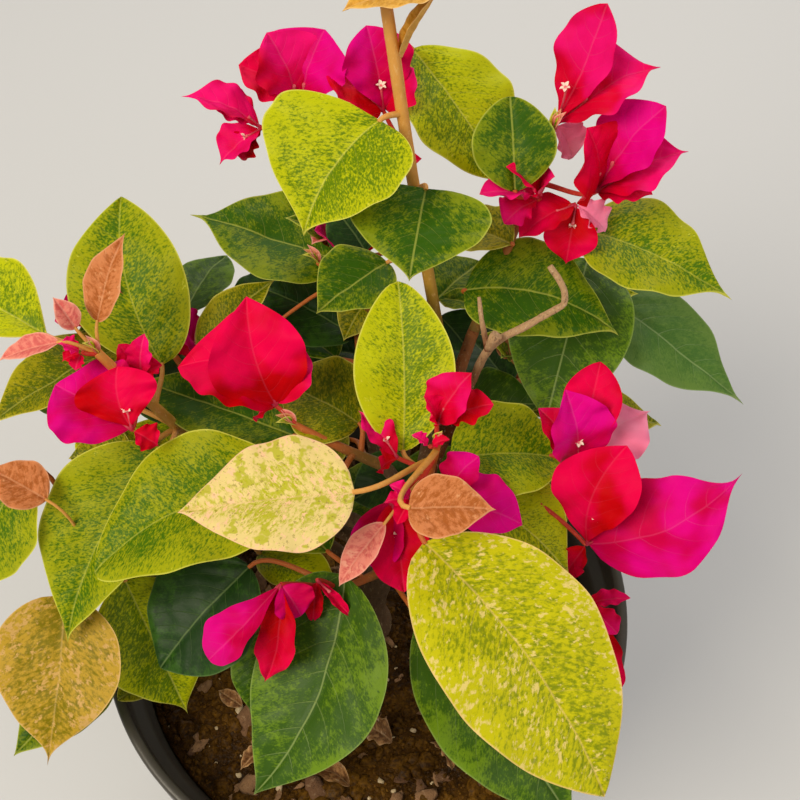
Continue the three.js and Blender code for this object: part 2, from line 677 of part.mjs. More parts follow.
// What is left of a solid beside everything that stands already, the piece near a place.
function cutClear(solid, place) {
  return keepNear(placed.reduce((rest, other) => rest.subtract(other.solid), solid), place);
}

const stems = {};
const masses = {};
for (const [name, shoot] of Object.entries(SHOOTS)) {
  stems[name] = stemCurve(shoot);
  if (shoot.at < 1) {
    const curve = boughCurve(shoot);
    const bough = (grow) => limb(curve, taper(BOUGH_RADIUS), FACETS.bough, grow);
    addNode("bough_" + name, "bark", geometryOf(cutClear(bough(0), shoot.from)));
    claim("bough_" + name, bough(GAP));
  }
  const stem = (grow) => limb(stems[name], taper(STEM_RADIUS), FACETS.stem, grow);
  masses[name] = cutClear(stem(0), shoot.to);
  claim("leaves_" + name, stem(GAP));
}

const twigCurve = new THREE.CatmullRomCurve3([
  trunkCurve.getPointAt(DEAD_TWIG_AT),
  ...DEAD_TWIG.map(sight),
]);
const spurCurve = new THREE.CatmullRomCurve3(DEAD_SPUR.map(sight));
const twig = (grow) => limb(twigCurve, taper(TWIG_RADIUS), FACETS.twig, grow);
const spur = (grow) => limb(spurCurve, constant(TWIG_RADIUS.tip), FACETS.spur, grow);
addNode("dead_twig", "dead_wood", geometryOf(cutClear(twig(0).add(spur(0)), sight(DEAD_TWIG.at(-1)))));
claim("dead_twig", twig(GAP));
claim("dead_twig", spur(GAP));

for (const row of LEAVES) grownLeaves.push(samples(namedBlade(row)));
for (const row of LEAVES) {
  const [name] = row;
  const leaf = growLeaf("leaves_" + name, stems[name], namedBlade(row), BLADE_STEPS.named, LIFTS);
  if (leaf) masses[name] = masses[name].add(leaf);
}

function addBloom(name, shoot, head) {
  const bloom = growBloom("bloom_" + name, stems[shoot], head);
  if (bloom) addNode("bloom_" + name, "blossom", geometryOf(bloom));
}

for (const row of BLOOMS) addBloom(row[0], row[1], namedHead(row));
for (const [name, count] of Object.entries(RULED_HEADS))
  for (let i = 0; i < count; i++) {
    const mark = RULED_HEAD.marks.first - RULED_HEAD.marks.apart * i;
    addBloom(name + "_" + (i + 1), name, ruledHead(SHOOTS[name], stems[name], mark));
  }

for (const [name, shoot] of Object.entries(SHOOTS)) {
  for (const blade of ruledLeaves(shoot, stems[name])) {
    const leaf = growLeaf("leaves_" + name, stems[name], blade, BLADE_STEPS.ruled, [0]);
    if (leaf) masses[name] = masses[name].add(leaf);
  }
  addNode("leaves_" + name, "leaves", geometryOf(whole(masses[name])));
}

export default bush;
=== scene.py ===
"""Dresses the potted bougainvillea bush: pot, soil, bark, leaves, bracts and small flowers.

Sizes in the tables are millimetres, as in the construction; MM turns them into metres. +Z is up
and the origin is the middle of the pot's flat underside.
"""

import math

import bmesh
import bpy
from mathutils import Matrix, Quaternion, Vector


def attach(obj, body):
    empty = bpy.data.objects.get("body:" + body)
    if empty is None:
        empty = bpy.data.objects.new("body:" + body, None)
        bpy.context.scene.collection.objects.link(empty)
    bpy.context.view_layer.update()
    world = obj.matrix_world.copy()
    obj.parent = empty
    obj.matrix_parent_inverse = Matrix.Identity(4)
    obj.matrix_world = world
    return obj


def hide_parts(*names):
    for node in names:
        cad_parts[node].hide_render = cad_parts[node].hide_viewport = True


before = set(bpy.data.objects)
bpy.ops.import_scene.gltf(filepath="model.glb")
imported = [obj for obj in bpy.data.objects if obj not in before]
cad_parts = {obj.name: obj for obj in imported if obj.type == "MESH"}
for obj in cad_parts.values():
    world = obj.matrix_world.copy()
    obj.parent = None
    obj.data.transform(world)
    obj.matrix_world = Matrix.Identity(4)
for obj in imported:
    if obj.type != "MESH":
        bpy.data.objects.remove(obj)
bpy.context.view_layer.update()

# ---------- Driving sizes ----------
MM = 0.001
POT_RIM, POT_HEIGHT, POT_FOOT, POT_NECK, POT_WALL = 85, 140, 59, 79.5, 2
LIP_TALL, LIP_THICK = 13, 3.5
SOIL_TOP, SOIL_CROWN, SOIL_FLAT = 118, 1.5, 14
TRUNK_FOOT = Vector((0, 0, SOIL_TOP + 0.3))
TRUNK_COURSE = [Vector((0, 0, 146)), Vector((9, 0, 170)), Vector((17, 4, 197))]
TRUNK_RADIUS = {"flare": 8.5, "foot": 5.2, "top": 3.6}
FLARE_TALL = 0.3
BOUGH_RADIUS = (2.4, 1.7)
BOUGH_RISE = 0.5
STEM_RADIUS = (1.7, 0.9)
STEM_SAG = 0.06
PETIOLE_RADIUS = (0.95, 0.65)
SLIGHT_LEAF = 16  # leaves narrower than this hang on thin stalks
YOUNG_SHOOTS = {"top": (1.8, 1.6), "far_left": (1.7, 1.3)}  # with their stems' radii
YOUNG_TINTS = ("cream", "young", "blush", "apricot", "lime")
STALK_RADIUS = (0.8, 0.6)
TWIG_RADIUS = (1.7, 0.8)
HANDLE = 0.3
UP = Vector((0, 0, 1))

# ---------- Places ----------
# A place in the crown is read from one eye in front of the bush and above it: across and down
# on a picture plane 800 units square, and the height over the floor in millimetres.
EYE = Vector((11, -149, 473))
PITCH = math.radians(55.8)
PLANE_AWAY = 1100
PLANE_SIDE = 800


def sight(across, down, height):
    right = across - PLANE_SIDE / 2
    below = down - PLANE_SIDE / 2
    fall = PLANE_AWAY * math.sin(PITCH) + below * math.cos(PITCH)
    ahead = PLANE_AWAY * math.cos(PITCH) - below * math.sin(PITCH)
    share = (EYE.z - height) / fall
    return Vector((EYE.x + share * right, EYE.y + share * ahead, height))


def around(degrees, out, height):
    turn = math.radians(degrees)
    return Vector((out * math.cos(turn), out * math.sin(turn), height))


# Each shoot: how many leaves grow on it by the rule, the share of the trunk's height where its
# bough starts, and where its leafy stem starts and ends.
SHOOTS = {
    "centre": (0, 1, TRUNK_COURSE[2], sight(438, 444, 228)),
    "left": (0, 0.93, sight(380, 464, 208), sight(294, 424, 224)),
    "far_left": (2, 0.72, sight(200, 446, 196), sight(97, 352, 238)),
    "top": (2, 0.97, sight(438, 330, 226), sight(384, -10, 312)),
    "right_top": (3, 0.88, sight(474, 330, 224), sight(553, 130, 272)),
    "back_left": (3, 0.66, sight(388, 322, 210), sight(318, 262, 230)),
    "right": (1, 0.9, sight(466, 466, 206), sight(540, 430, 205)),
    "right_low": (3, 0.62, sight(510, 392, 190), sight(596, 296, 212)),
    "front_low": (2, 0.5, sight(392, 566, 170), sight(338, 590, 182)),
    "left_front": (2, 0.42, sight(276, 528, 163), sight(96, 575, 170)),
    "back": (13, 0.76, around(88, 38, 186), around(94, 84, 226)),
    "back_right": (11, 0.54, around(48, 36, 172), around(42, 84, 204)),
    "left_back": (11, 0.58, around(142, 36, 174), around(138, 86, 208)),
    "right_side": (7, 0.46, around(14, 34, 164), around(12, 76, 184)),
}

# Outlines of blades: where the belly lies (1 is the middle, less is nearer the root), how much
# they taper (less is fuller), and how far the tip is drawn out.
OUTLINES = {
    "ovate": (0.78, 0.8, 0.5),
    "oval": (0.94, 0.7, -0.1),
    "lance": (1.0, 1.1, 0.2),
    "pointed": (0.66, 0.8, 0.4),
    "heart": (0.64, 0.7, 0.7),
    "broad": (0.86, 0.62, 0.25),
    "drip": (0.68, 0.72, 1.4),
    "bract": (0.98, 0.62, 0.3),
    "paddle": (1.45, 0.74, 0.0),
    "kite": (1.0, 0.8, 1.3),
    "star": (1.0, 0.7, 0.2),
}

# Leaves that have their own place: shoot, root, tip, width, roll, fold, bow, sway, tint, and
# their outline where it isn't ovate.
LEAVES = [
    ("centre", (403, 452, 216), (398, 281, 245), 28, 0, 12, 0.05, 0.02, "lime", "oval"),
    ("centre", (355, 492, 236), (177, 512, 233), 33, 0, 8, 0.03, 0, "cream", "pointed"),
    ("centre", (408, 508, 236), (496, 509, 238), 18, 0, 6, 0.03, 0, "young", "heart"),
    ("centre", (385, 523, 226), (338, 587, 212), 9, 0, 14, 0.06, 0, "blush"),
    ("centre", (424, 542, 226), (605, 797, 199), 45, 0, 4, 0.07, -0.04, "mottled", "broad"),
    ("left", (318, 500, 218), (94, 572, 204), 41, 0, 10, 0.06, 0.13, "bright", "oval"),
    ("left", (295, 436, 206), (138, 381, 205), 26, 0, 10, 0.03, 0, "green"),
    ("left", (360, 424, 214), (281, 382, 221), 29, 0, 10, 0.06, 0, "olive", "broad"),
    ("far_left", (162, 365, 216), (121, 196, 240), 34, 0, 10, 0.05, -0.08, "bright", "broad"),
    ("far_left", (97, 322, 244), (124, 233, 262), 12, 0, 16, 0.05, 0, "young"),
    ("far_left", (76, 329, 246), (53, 297, 254), 7, 0, 16, 0.05, 0, "blush"),
    ("far_left", (59, 342, 244), (-2, 360, 240), 8, 0, 20, 0.05, 0, "blush"),
    ("far_left", (48, 336, 236), (-75, 270, 238), 28, 0, 10, 0.04, 0, "lime", "lance"),
    ("far_left", (118, 400, 200), (26, 362, 196), 30, 0, 8, 0.05, 0, "dark"),
    ("far_left", (168, 450, 209), (67, 643, 176), 38, 0, 22, 0.06, 0.06, "bright", "heart"),
    ("far_left", (132, 452, 204), (68, 458, 202), 18, 0, 8, 0.05, 0, "olive"),
    ("left_front", (22, 470, 204), (-30, 592, 180), 34, 0, 10, 0.06, 0, "bright"),
    ("left_front", (47, 500, 208), (-12, 468, 214), 15, 0, 8, 0.05, 0, "young"),
    ("left_front", (64, 595, 176), (47, 766, 150), 38, 0, 10, 0.06, -0.04, "gold", "drip"),
    ("left_front", (112, 642, 150), (13, 756, 146), 26, 0, 8, 0.05, -0.04, "green"),
    ("left_front", (125, 580, 173), (189, 716, 134), 33, 0, 10, 0.06, 0, "lime", "drip"),
    # This leaf's near-black green is painted shade.
    ("front_low", (250, 566, 182), (160, 668, 164), 38, 0, 6, 0.06, 0, "deep", "broad"),
    ("front_low", (345, 575, 186), (253, 795, 150), 42, 8, 12, 0.07, -0.12, "dark", "pointed"),
    ("front_low", (420, 620, 178), (575, 825, 150), 38, 0, 6, 0.07, 0, "dark"),
    ("top", (436, -8, 312), (342, 10, 313), 17, 0, 16, 0.05, 0.03, "apricot"),
    ("top", (400, 58, 296), (444, -16, 316), 6, 0, 40, 0.05, 0, "apricot"),
    # Its tint paints shade on the other half of this blade.
    ("top", (380, 120, 285), (303, 236, 268), 44, -4, 20, 0.05, 0.08, "lime_turned", "heart"),
    ("top", (426, 188, 271), (409, 281, 262), 37, 0, 10, 0.05, 0, "green", "heart"),
    ("top", (388, 262, 238), (316, 313, 236), 25, 0, 12, 0.04, 0, "green"),
    ("top", (412, 48, 274), (500, 178, 254), 34, 0, 8, 0.06, 0, "lime", "oval"),
    ("right_top", (515, 192, 263), (510, 96, 279), 23, 0, 10, 0.05, 0, "green", "oval"),
    ("right_top", (582, 228, 246), (732, 299, 238), 34, 0, 8, 0.06, 0, "bright", "drip"),
    ("right_top", (464, 290, 240), (619, 335, 229), 31, 12, 9, 0.05, -0.1, "green", "heart"),
    ("right_low", (588, 258, 219), (546, 420, 204), 37, 0, 8, 0.06, 0, "dark", "broad"),
    ("right_low", (606, 298, 208), (744, 404, 196), 31, 0, 6, 0.02, 0, "grey", "drip"),
    ("right", (450, 456, 212), (583, 460, 207), 32, 0, 12, 0.06, 0, "bright", "drip"),
    ("right", (478, 490, 205), (569, 572, 192), 29, 0, 10, 0.06, 0, "lime"),
    ("right", (452, 410, 200), (543, 404, 204), 24, 0, 12, 0.05, 0, "dark"),
    ("back_left", (342, 262, 222), (190, 214, 228), 36, 0, 10, 0.02, 0, "green", "drip"),
    ("back_left", (198, 348, 216), (275, 279, 224), 15, 0, 12, 0.05, 0, "olive"),
    ("back_left", (372, 292, 210), (343, 341, 204), 14, 0, 10, 0.05, 0, "olive"),
]

# Smaller leaves that fill the inside of the crown: shoot, root, tip, width, fold, tint, outline.
# Most of them take the near-black green, which is painted shade.
FILLING_LEAVES = [
    ("right_top", (512, 244, 249), (450, 224, 244), 20, 10, "olive", "oval"),
    ("right_top", (478, 306, 230), (440, 298, 226), 9, 12, "green", "oval"),
    ("right_low", (510, 384, 198), (448, 318, 200), 22, 10, "deep", "broad"),
    ("right_low", (520, 372, 186), (592, 330, 184), 22, 10, "deep", "broad"),
    ("back_left", (356, 336, 202), (262, 288, 206), 28, 8, "deep", "broad"),
    ("back_left", (368, 356, 192), (300, 350, 188), 20, 8, "deep", "ovate"),
    ("top", (436, 300, 226), (482, 262, 222), 20, 10, "green", "broad"),
    ("top", (440, 316, 218), (470, 352, 212), 16, 10, "deep", "ovate"),
    ("front_low", (262, 634, 152), (250, 716, 134), 16, 10, "dark", "drip"),
    ("left_front", (168, 668, 138), (118, 700, 143), 12, 10, "olive", "oval"),
    ("left", (340, 440, 190), (262, 452, 186), 24, 10, "deep", "broad"),
    ("far_left", (150, 470, 196), (76, 440, 202), 20, 10, "lime", "oval"),
    ("back_left", (366, 252, 226), (332, 206, 236), 20, 10, "deep", "broad"),
    ("back_left", (300, 292, 204), (222, 318, 200), 24, 10, "deep", "broad"),
    ("far_left", (176, 424, 192), (142, 340, 200), 22, 10, "deep", "broad"),
    ("centre", (420, 470, 200), (352, 500, 196), 20, 10, "deep", "broad"),
    ("right_low", (556, 344, 190), (600, 410, 178), 22, 10, "deep", "broad"),
]

# Dry leaves on the soil: root, tip, width, roll, fold, bow, sway.
LITTER = [
    ((350, 786, 122), (288, 772, 124), 13, 0, 55, 0.2, 0.1),
    ((392, 742, 121), (352, 728, 121), 9, 10, 14, 0.1, 0.1),
    ((242, 706, 121), (218, 690, 122), 6, -10, 30, 0.2, 0),
    ((452, 770, 121), (430, 742, 122), 8, 20, 40, 0.2, 0.1),
    ((262, 748, 121), (240, 770, 121), 6, 0, 35, 0.15, 0),
]

# Blossom heads: name, shoot, place of the head, then one row for each bract:
# tip, width, fold, bow, tint, outline and, where it bends aside, its sway.
BLOOMS = [
    ("left", "left", (276, 406, 228), [
        ((180, 368, 234), 33, 24, 0.14, "crimson", "bract", 0.16),
        ((247, 299, 252), 28, 24, 0.14, "crimson", "bract", -0.08),
        ((297, 342, 238), 19, 20, 0.12, "pink", "bract"),
        ((259, 417, 220), 8, 20, 0.06, "crimson", "kite")]),
    ("far_left", "far_left", (132, 430, 226), [
        ((57, 386, 231), 29, 14, 0.05, "magenta", "bract"),
        ((157, 445, 222), 9, 18, 0.05, "crimson", "kite"),
        ((118, 369, 237), 22, 10, 0.1, "crimson", "paddle", -0.1)]),
    ("far_left_small", "far_left", (141, 376, 226), [
        ((120, 346, 232), 8, 20, 0.1, "crimson", "bract"),
        ((144, 336, 236), 8, 20, 0.1, "pink", "bract"),
        ((160, 366, 228), 8, 20, 0.1, "crimson", "bract")]),
    ("top_left", "top", (300, 110, 264), [
        ((241, 66, 276), 23, 16, 0.1, "crimson", "paddle"),
        ((268, 35, 284), 24, 16, 0.1, "pink", "paddle"),
        ((324, 32, 282), 28, 14, 0.1, "magenta", "paddle")]),
    ("top_left_small", "top", (262, 128, 260), [
        ((184, 97, 268), 13, 24, 0.14, "pink", "kite"),
        ((216, 104, 266), 13, 20, 0.1, "pink", "paddle"),
        ((221, 163, 254), 14, 24, 0.1, "pink", "kite"),
        ((243, 158, 254), 11, 24, 0.1, "crimson", "paddle")]),
    ("top", "top", (384, 112, 266), [
        ((328, 76, 276), 30, 14, 0.1, "crimson", "bract"),
        ((367, 28, 286), 21, 16, 0.08, "magenta", "paddle"),
        ((412, 70, 276), 22, 16, 0.1, "pink", "bract")]),
    ("right_top_upper", "right_top", (556, 124, 270), [
        ((606, 6, 300), 18, 14, -0.04, "pink", "paddle"),
        ((658, 68, 284), 27, 22, 0.1, "pink", "kite"),
        ((572, 156, 262), 14, 20, 0.08, "pale", "bract")]),
    ("right_top", "right_top", (596, 192, 258), [
        ((588, 130, 277), 32, 12, 0.12, "crimson", "bract"),
        ((664, 108, 280), 22, 16, 0.1, "magenta", "paddle"),
        ((686, 152, 270), 24, 18, 0.08, "pink", "kite"),
        ((650, 194, 262), 15, 18, 0.08, "crimson", "bract")]),
    ("right_top_small", "right_top", (540, 198, 258), [
        ((482, 194, 264), 11, 24, 0.1, "pink", "paddle"),
        ((508, 168, 268), 13, 24, 0.1, "crimson", "bract"),
        ((553, 178, 266), 13, 20, 0.1, "pink", "paddle"),
        ((506, 222, 254), 12, 20, 0.1, "pink", "paddle")]),
    ("right_top_low", "right_top", (576, 204, 256), [
        ((566, 263, 244), 16, 24, 0.1, "crimson", "kite"),
        ((521, 236, 250), 14, 24, 0.1, "crimson", "bract"),
        ((604, 230, 250), 11, 20, 0.1, "pale", "bract")]),
    ("centre", "centre", (437, 424, 234), [
        ((470, 375, 246), 14, 22, 0.14, "pink", "bract"),
        ((491, 405, 240), 12, 22, 0.1, "crimson", "paddle"),
        ((425, 398, 244), 8, 22, 0.08, "crimson", "bract")]),
    ("centre_low", "centre", (392, 500, 222), [
        ((374, 566, 208), 15, 20, 0.1, "magenta", "bract"),
        ((404, 590, 206), 17, 18, 0.1, "crimson", "bract")]),
    ("centre_back", "centre", (398, 458, 218), [
        ((360, 412, 222), 9, 24, 0.1, "pink", "kite"),
        ((382, 468, 212), 8, 24, 0.1, "crimson", "bract")]),
    ("centre_right", "centre", (440, 498, 214), [
        ((477, 458, 222), 12, 20, 0.1, "magenta", "paddle"),
        ((520, 524, 214), 19, 14, 0.1, "magenta", "bract")]),
    ("right", "right", (578, 462, 212), [
        ((600, 364, 230), 17, 20, 0.1, "crimson", "paddle"),
        ((566, 392, 232), 21, 20, 0.12, "magenta", "bract"),
        ((540, 410, 222), 13, 20, 0.1, "pink", "bract"),
        ((649, 412, 214), 23, 8, 0.04, "pale", "kite", -0.06)]),
    ("right_front", "right", (586, 545, 197), [
        ((626, 448, 222), 25, 20, 0.12, "crimson", "paddle", -0.1),
        ((740, 474, 212), 31, 18, 0.1, "magenta", "drip", 0.16),
        ((566, 574, 188), 9, 24, 0.06, "crimson", "bract")]),
    ("right_front_low", "right", (586, 602, 182), [
        ((628, 598, 186), 6, 30, 0.02, "pink", "bract"),
        ((616, 632, 178), 8, 30, 0.02, "pink", "paddle"),
        ((612, 712, 160), 12, 20, 0.06, "crimson", "kite")]),
    ("front_low", "front_low", (281, 584, 196), [
        ((210, 658, 182), 15, 24, 0.24, "magenta", "paddle", -0.12),
        ((264, 681, 176), 12, 22, 0.14, "crimson", "kite", -0.1),
        ((300, 614, 190), 13, 18, 0.1, "magenta", "bract")]),
    ("far_left_buds", "far_left", (82, 352, 240), [
        ((60, 344, 244), 6, 24, 0.08, "pink", "kite"),
        ((64, 360, 240), 5, 24, 0.08, "crimson", "kite"),
        ((76, 368, 238), 5, 24, 0.08, "pink", "bract")]),
    ("centre_buds", "centre", (412, 498, 229), [
        ((392, 486, 233), 5, 24, 0.08, "pink", "bract"),
        ((386, 502, 230), 5, 24, 0.08, "pink", "kite"),
        ((398, 522, 226), 5, 24, 0.08, "crimson", "bract")]),
    ("centre_top_buds", "centre", (430, 446, 230), [
        ((414, 436, 234), 4, 24, 0.08, "pink", "bract"),
        ((447, 440, 233), 4, 24, 0.08, "crimson", "bract")]),
    ("front_low_small", "front_low", (317, 580, 192), [
        ((313, 620, 182), 6, 24, 0.04, "crimson", "bract"),
        ((350, 616, 184), 3.5, 24, 0.02, "crimson", "bract")]),
]

DEAD_TWIG = [(468, 390, 217), (491, 347, 236), (526, 326, 244), (558, 308, 249), (564, 303, 250),
             (563, 287, 254), (550, 266, 258)]
DEAD_SPUR = [(488, 350, 235), (482, 322, 243), (479, 297, 248)]
DEAD_KNOB = [(489, 348, 236), (493, 340, 242), (497, 335, 244)]
DEAD_TWIG_AT = 0.82

# The rules for what grows away from the eye, with the construction's seed. They aren't quite its
# own: the heads are smaller, and a leaf that it drops for touching a neighbour stays.
RULED_HEADS = {"back": 2, "left_back": 2}
RULED_HEAD = {"bracts": 3, "length": 22, "width": 17, "fold": 16, "bow": 0.08, "spread": 55,
              "stalk": 12, "rise": 0.7, "heading": 0.9, "turn": 0.2, "first": 0.98, "apart": 0.4}
RULED_TINTS = ("crimson", "pink", "magenta")
RULED_LEAF = {"length": (30, 46), "droop": (-0.5, 0.12), "roll": (-14, 14), "turn": (-15, 15),
              "slender": 0.6, "fold": 10, "bow": 0.07, "petiole": 11, "rise": 4}
HIDDEN_LEAVES = (("right_top", 1),)  # would lie flat on a leaf that has its own place
RULED_LEAF_TINTS = ("green", "bright", "dark", "green", "lime", "dark", "olive")
GOLDEN_TURN = 137.5
SPRIG = {"tries": 14, "lowest": 0.2, "ways": (-10, 190), "lift": (0.0, 1.3), "twig": (8, 16),
         "leaves": 3, "length": (9, 19), "slender": 0.6, "fold": 16, "bow": 0.1, "spread": 1.1,
         "stray": 0.3, "clear": 3, "arch": 1}
SPRIG_SHOOTS = ("back", "back_right", "left_back", "right_side")
BUD = {"leaves": 3, "length": 6, "width": 3, "fold": 30, "bow": 0.1, "spread": 0.5, "sunk": 0.5,
       "aim_from": 0.9, "tints": ("blush", "young", "lime")}
SPRIG_TINTS = ("lime", "young", "bright", "green", "blush", "olive")
SPRIG_RADIUS = (0.65, 0.4)
SEED = 20
CROWN_MIDDLE, CROWN_REACH = Vector((-4, 22, 205)), Vector((112, 104, 112))
LOWEST_LEAF = {"outside": POT_HEIGHT + 3, "inside": SOIL_TOP + 8}
MOUTH = 72
CLEAR_OF_LEAVES = 7
TESTED = {"along": 9, "across": (-0.8, 0, 0.8), "belly": 0.78, "taper": 0.86}
STALK_MARKS = {"count": 12, "first": 0.14, "last": 0.98, "detour": 12}
STALK_KNEE = {"at": 0.35, "arch": 0.06}


class Chance:
    """Random numbers that come out the same on every run, by a linear congruential rule."""

    def __init__(self, seed):
        self.state = seed

    def between(self, low, high):
        self.state = (self.state * 1664525 + 1013904223) % 2**32
        return low + (high - low) * self.state / 2**32

    def either(self, most):
        return self.between(-most, most)


# ---------- Courses: the ways that limbs take ----------
CURVE_STEPS = 40


class Course:
    """A smooth way through space, read by its share of length."""

    def __init__(self, points):
        self.points = points
        self.marks = [0.0]
        for before, after in zip(points, points[1:]):
            self.marks.append(self.marks[-1] + (after - before).length)
        self.length = self.marks[-1]

    def at(self, share):
        goal = min(max(share, 0), 1) * self.length
        last = next(i for i, mark in enumerate(self.marks) if i and mark >= goal - 1e-9)
        step = self.marks[last] - self.marks[last - 1]
        return self.points[last - 1].lerp(self.points[last], (goal - self.marks[last - 1]) / step)


def bezier(*handles):
    points = []
    for i in range(CURVE_STEPS + 1):
        row = list(handles)
        while len(row) > 1:
            row = [a.lerp(b, i / CURVE_STEPS) for a, b in zip(row, row[1:])]
        points.append(row[0])
    return Course(points)


def through(places, steps=12):
    """A smooth course through every place."""
    points = []
    ends = [places[0] * 2 - places[1], *places, places[-1] * 2 - places[-2]]
    for a, b, c, d in zip(ends, ends[1:], ends[2:], ends[3:]):
        for i in range(steps):
            t = i / steps
            square = a * 2 - b * 5 + c * 4 - d
            cube = b * 3 - a - c * 3 + d
            points.append(b + ((c - a) * t + square * t**2 + cube * t**3) * 0.5)
    return Course([*points, places[-1]])


trunk_course = bezier(TRUNK_FOOT, *TRUNK_COURSE)


def trunk_radius(share):
    spread = max(0, 1 - share / FLARE_TALL) ** 2
    foot, top = TRUNK_RADIUS["foot"], TRUNK_RADIUS["top"]
    return foot + (top - foot) * share + (TRUNK_RADIUS["flare"] - foot) * spread


def bough_course(at, start, end):
    foot = trunk_course.at(at)
    heading = (end - start).normalized()
    run = (start - foot).length
    out = start - foot
    out.z = 0
    out = out.normalized() + UP * BOUGH_RISE
    return bezier(foot, foot + out * run * HANDLE, start - heading * run * HANDLE, start)


def stem_course(start, end):
    middle = start.lerp(end, 0.5) - UP * STEM_SAG * (end - start).length
    return bezier(start, middle, end)


def stalk_course(stem, root, heading):
    """The way of a leaf's or a head's stalk, from the nearest place on the stem to its root."""
    count, first, last, detour = STALK_MARKS.values()
    marks = [first + (last - first) * i / (count - 1) for i in range(count)]
    start = stem.at(min(marks, key=lambda mark: (stem.at(mark) - root).length + detour * mark))
    way = root - start
    run = way.length
    knee = start.lerp(root, STALK_KNEE["at"]) + UP * run * STALK_KNEE["arch"]
    back = min(0, heading.dot(way)) / run**2
    ending = (heading - way * back).normalized()
    return bezier(start, knee, root - ending * run * HANDLE, root)


# ---------- Blades: leaves and bracts ----------
def blade(root, tip, width, roll=0, fold=10, bow=0.05, sway=0, tint="green", outline="ovate",
          ruffle=0.02):
    along = (tip - root).normalized()
    side = along.cross(UP).normalized()
    side.rotate(Quaternion(along, math.radians(roll)))
    belly, taper, drip = OUTLINES[outline]
    return {"root": root, "along": along, "side": side, "facing": side.cross(along),
            "length": (tip - root).length, "width": width, "fold": math.radians(fold),
            "bow": bow, "sway": sway, "belly": belly, "taper": taper, "drip": drip,
            "ruffle": ruffle, "tint": tint}


def blade_samples(row):
    """Places along the blade's middle and near its two edges."""
    points = []
    for i in range(TESTED["along"]):
        share = i / (TESTED["along"] - 1)
        arch = 4 * share * (1 - share) * row["length"]
        swell = max(math.sin(math.pi * share ** TESTED["belly"]), 0)
        half = row["width"] / 2 * swell ** TESTED["taper"]
        for across in TESTED["across"]:
            rise = arch * row["bow"] + abs(across) * half * math.sin(row["fold"])
            aside = arch * row["sway"] + across * half * math.cos(row["fold"])
            points.append(row["root"] + row["along"] * row["length"] * share
                          + row["facing"] * rise + row["side"] * aside)
    return points


def inside_crown(p):
    off = [(p[i] - CROWN_MIDDLE[i]) / CROWN_REACH[i] for i in range(3)]
    lowest = LOWEST_LEAF["outside" if math.hypot(p.x, p.y) > MOUTH else "inside"]
    return sum(o * o for o in off) <= 1 and p.z >= lowest


chance = Chance(SEED)
stems = {name: stem_course(start, end) for name, (_, _, start, end) in SHOOTS.items()}
grown = []


def ruled_head(start, end, stem, mark):
    heading = math.atan2(end.y - start.y, end.x - start.x) + chance.either(RULED_HEAD["heading"])
    out = Vector((math.cos(heading), math.sin(heading), RULED_HEAD["rise"])).normalized()
    root = stem.at(mark) + out * RULED_HEAD["stalk"]
    side = out.cross(UP).normalized()
    lean = math.radians(RULED_HEAD["spread"])
    rows = []
    for i in range(RULED_HEAD["bracts"]):
        turn = 2 * math.pi * i / RULED_HEAD["bracts"] + chance.either(RULED_HEAD["turn"])
        way = side.copy()
        way.rotate(Quaternion(out, turn))
        tip = root + (way * math.sin(lean) + out * math.cos(lean)) * RULED_HEAD["length"]
        rows.append(blade(root, tip, RULED_HEAD["width"], fold=RULED_HEAD["fold"],
                          bow=RULED_HEAD["bow"], tint=RULED_TINTS[i], outline="bract"))
    return root, rows


def ruled_leaves(name):
    """Leaves stand alternately round the stem, a golden turn apart, and droop a little."""
    count, _, start, end = SHOOTS[name]
    heading = math.atan2(end.y - start.y, end.x - start.x)
    rows = []
    for i in range(count):
        turn = math.radians(GOLDEN_TURN * (i + 1) + chance.between(*RULED_LEAF["turn"]))
        length = chance.between(*RULED_LEAF["length"])
        droop = chance.between(*RULED_LEAF["droop"])
        out = Vector((math.cos(heading + turn), math.sin(heading + turn), 0))
        root = stems[name].at((i + 0.5) / count) + out * RULED_LEAF["petiole"]
        root += UP * RULED_LEAF["rise"]
        tip = root + out * length + UP * length * droop
        row = blade(root, tip, length * RULED_LEAF["slender"], chance.between(*RULED_LEAF["roll"]),
                    RULED_LEAF["fold"], RULED_LEAF["bow"],
                    tint=RULED_LEAF_TINTS[len(grown) % len(RULED_LEAF_TINTS)])
        points = blade_samples(row)
        if not all(inside_crown(p) for p in points):
            continue
        if any((p - q).length < CLEAR_OF_LEAVES for leaf in grown for q in leaf for p in points):
            continue
        grown.append(points)
        if (name, i) not in HIDDEN_LEAVES:
            rows.append(row)
    return rows


def ruled_sprigs(name):
    """Finer twigs at a stem's tip and along its bare stretches, with small leaves at their ends."""
    stem, made = stems[name], []
    for i in range(SPRIG["tries"]):
        out = around(chance.between(*SPRIG["ways"]), 1, chance.between(*SPRIG["lift"])).normalized()
        start = stem.at(1 - (1 - SPRIG["lowest"]) * i / SPRIG["tries"])
        end = start + out * chance.between(*SPRIG["twig"])
        rows = []
        for j in range(SPRIG["leaves"]):
            way = out.copy()
            way.rotate(Quaternion(UP, (j - 1) * SPRIG["spread"] + chance.either(SPRIG["stray"])))
            length = chance.between(*SPRIG["length"])
            tint = SPRIG_TINTS[(len(made) + j) % len(SPRIG_TINTS)]
            rows.append(blade(end, end + way * length, length * SPRIG["slender"],
                              fold=SPRIG["fold"], bow=SPRIG["bow"], tint=tint))
        points = [p for row in rows for p in blade_samples(row)]
        clash = any((p - q).length < SPRIG["clear"] for leaf in grown for q in leaf for p in points)
        if clash or not all(inside_crown(p) for p in points):
            continue
        grown.append(points)
        made.append((bezier(start, start.lerp(end, 0.5) + UP * SPRIG["arch"], end), rows))
    return made


leaves = []  # (shoot, blade)
for shoot, root, tip, *form in LEAVES:
    leaves.append((shoot, blade(sight(*root), sight(*tip), *form)))
    grown.append(blade_samples(leaves[-1][1]))

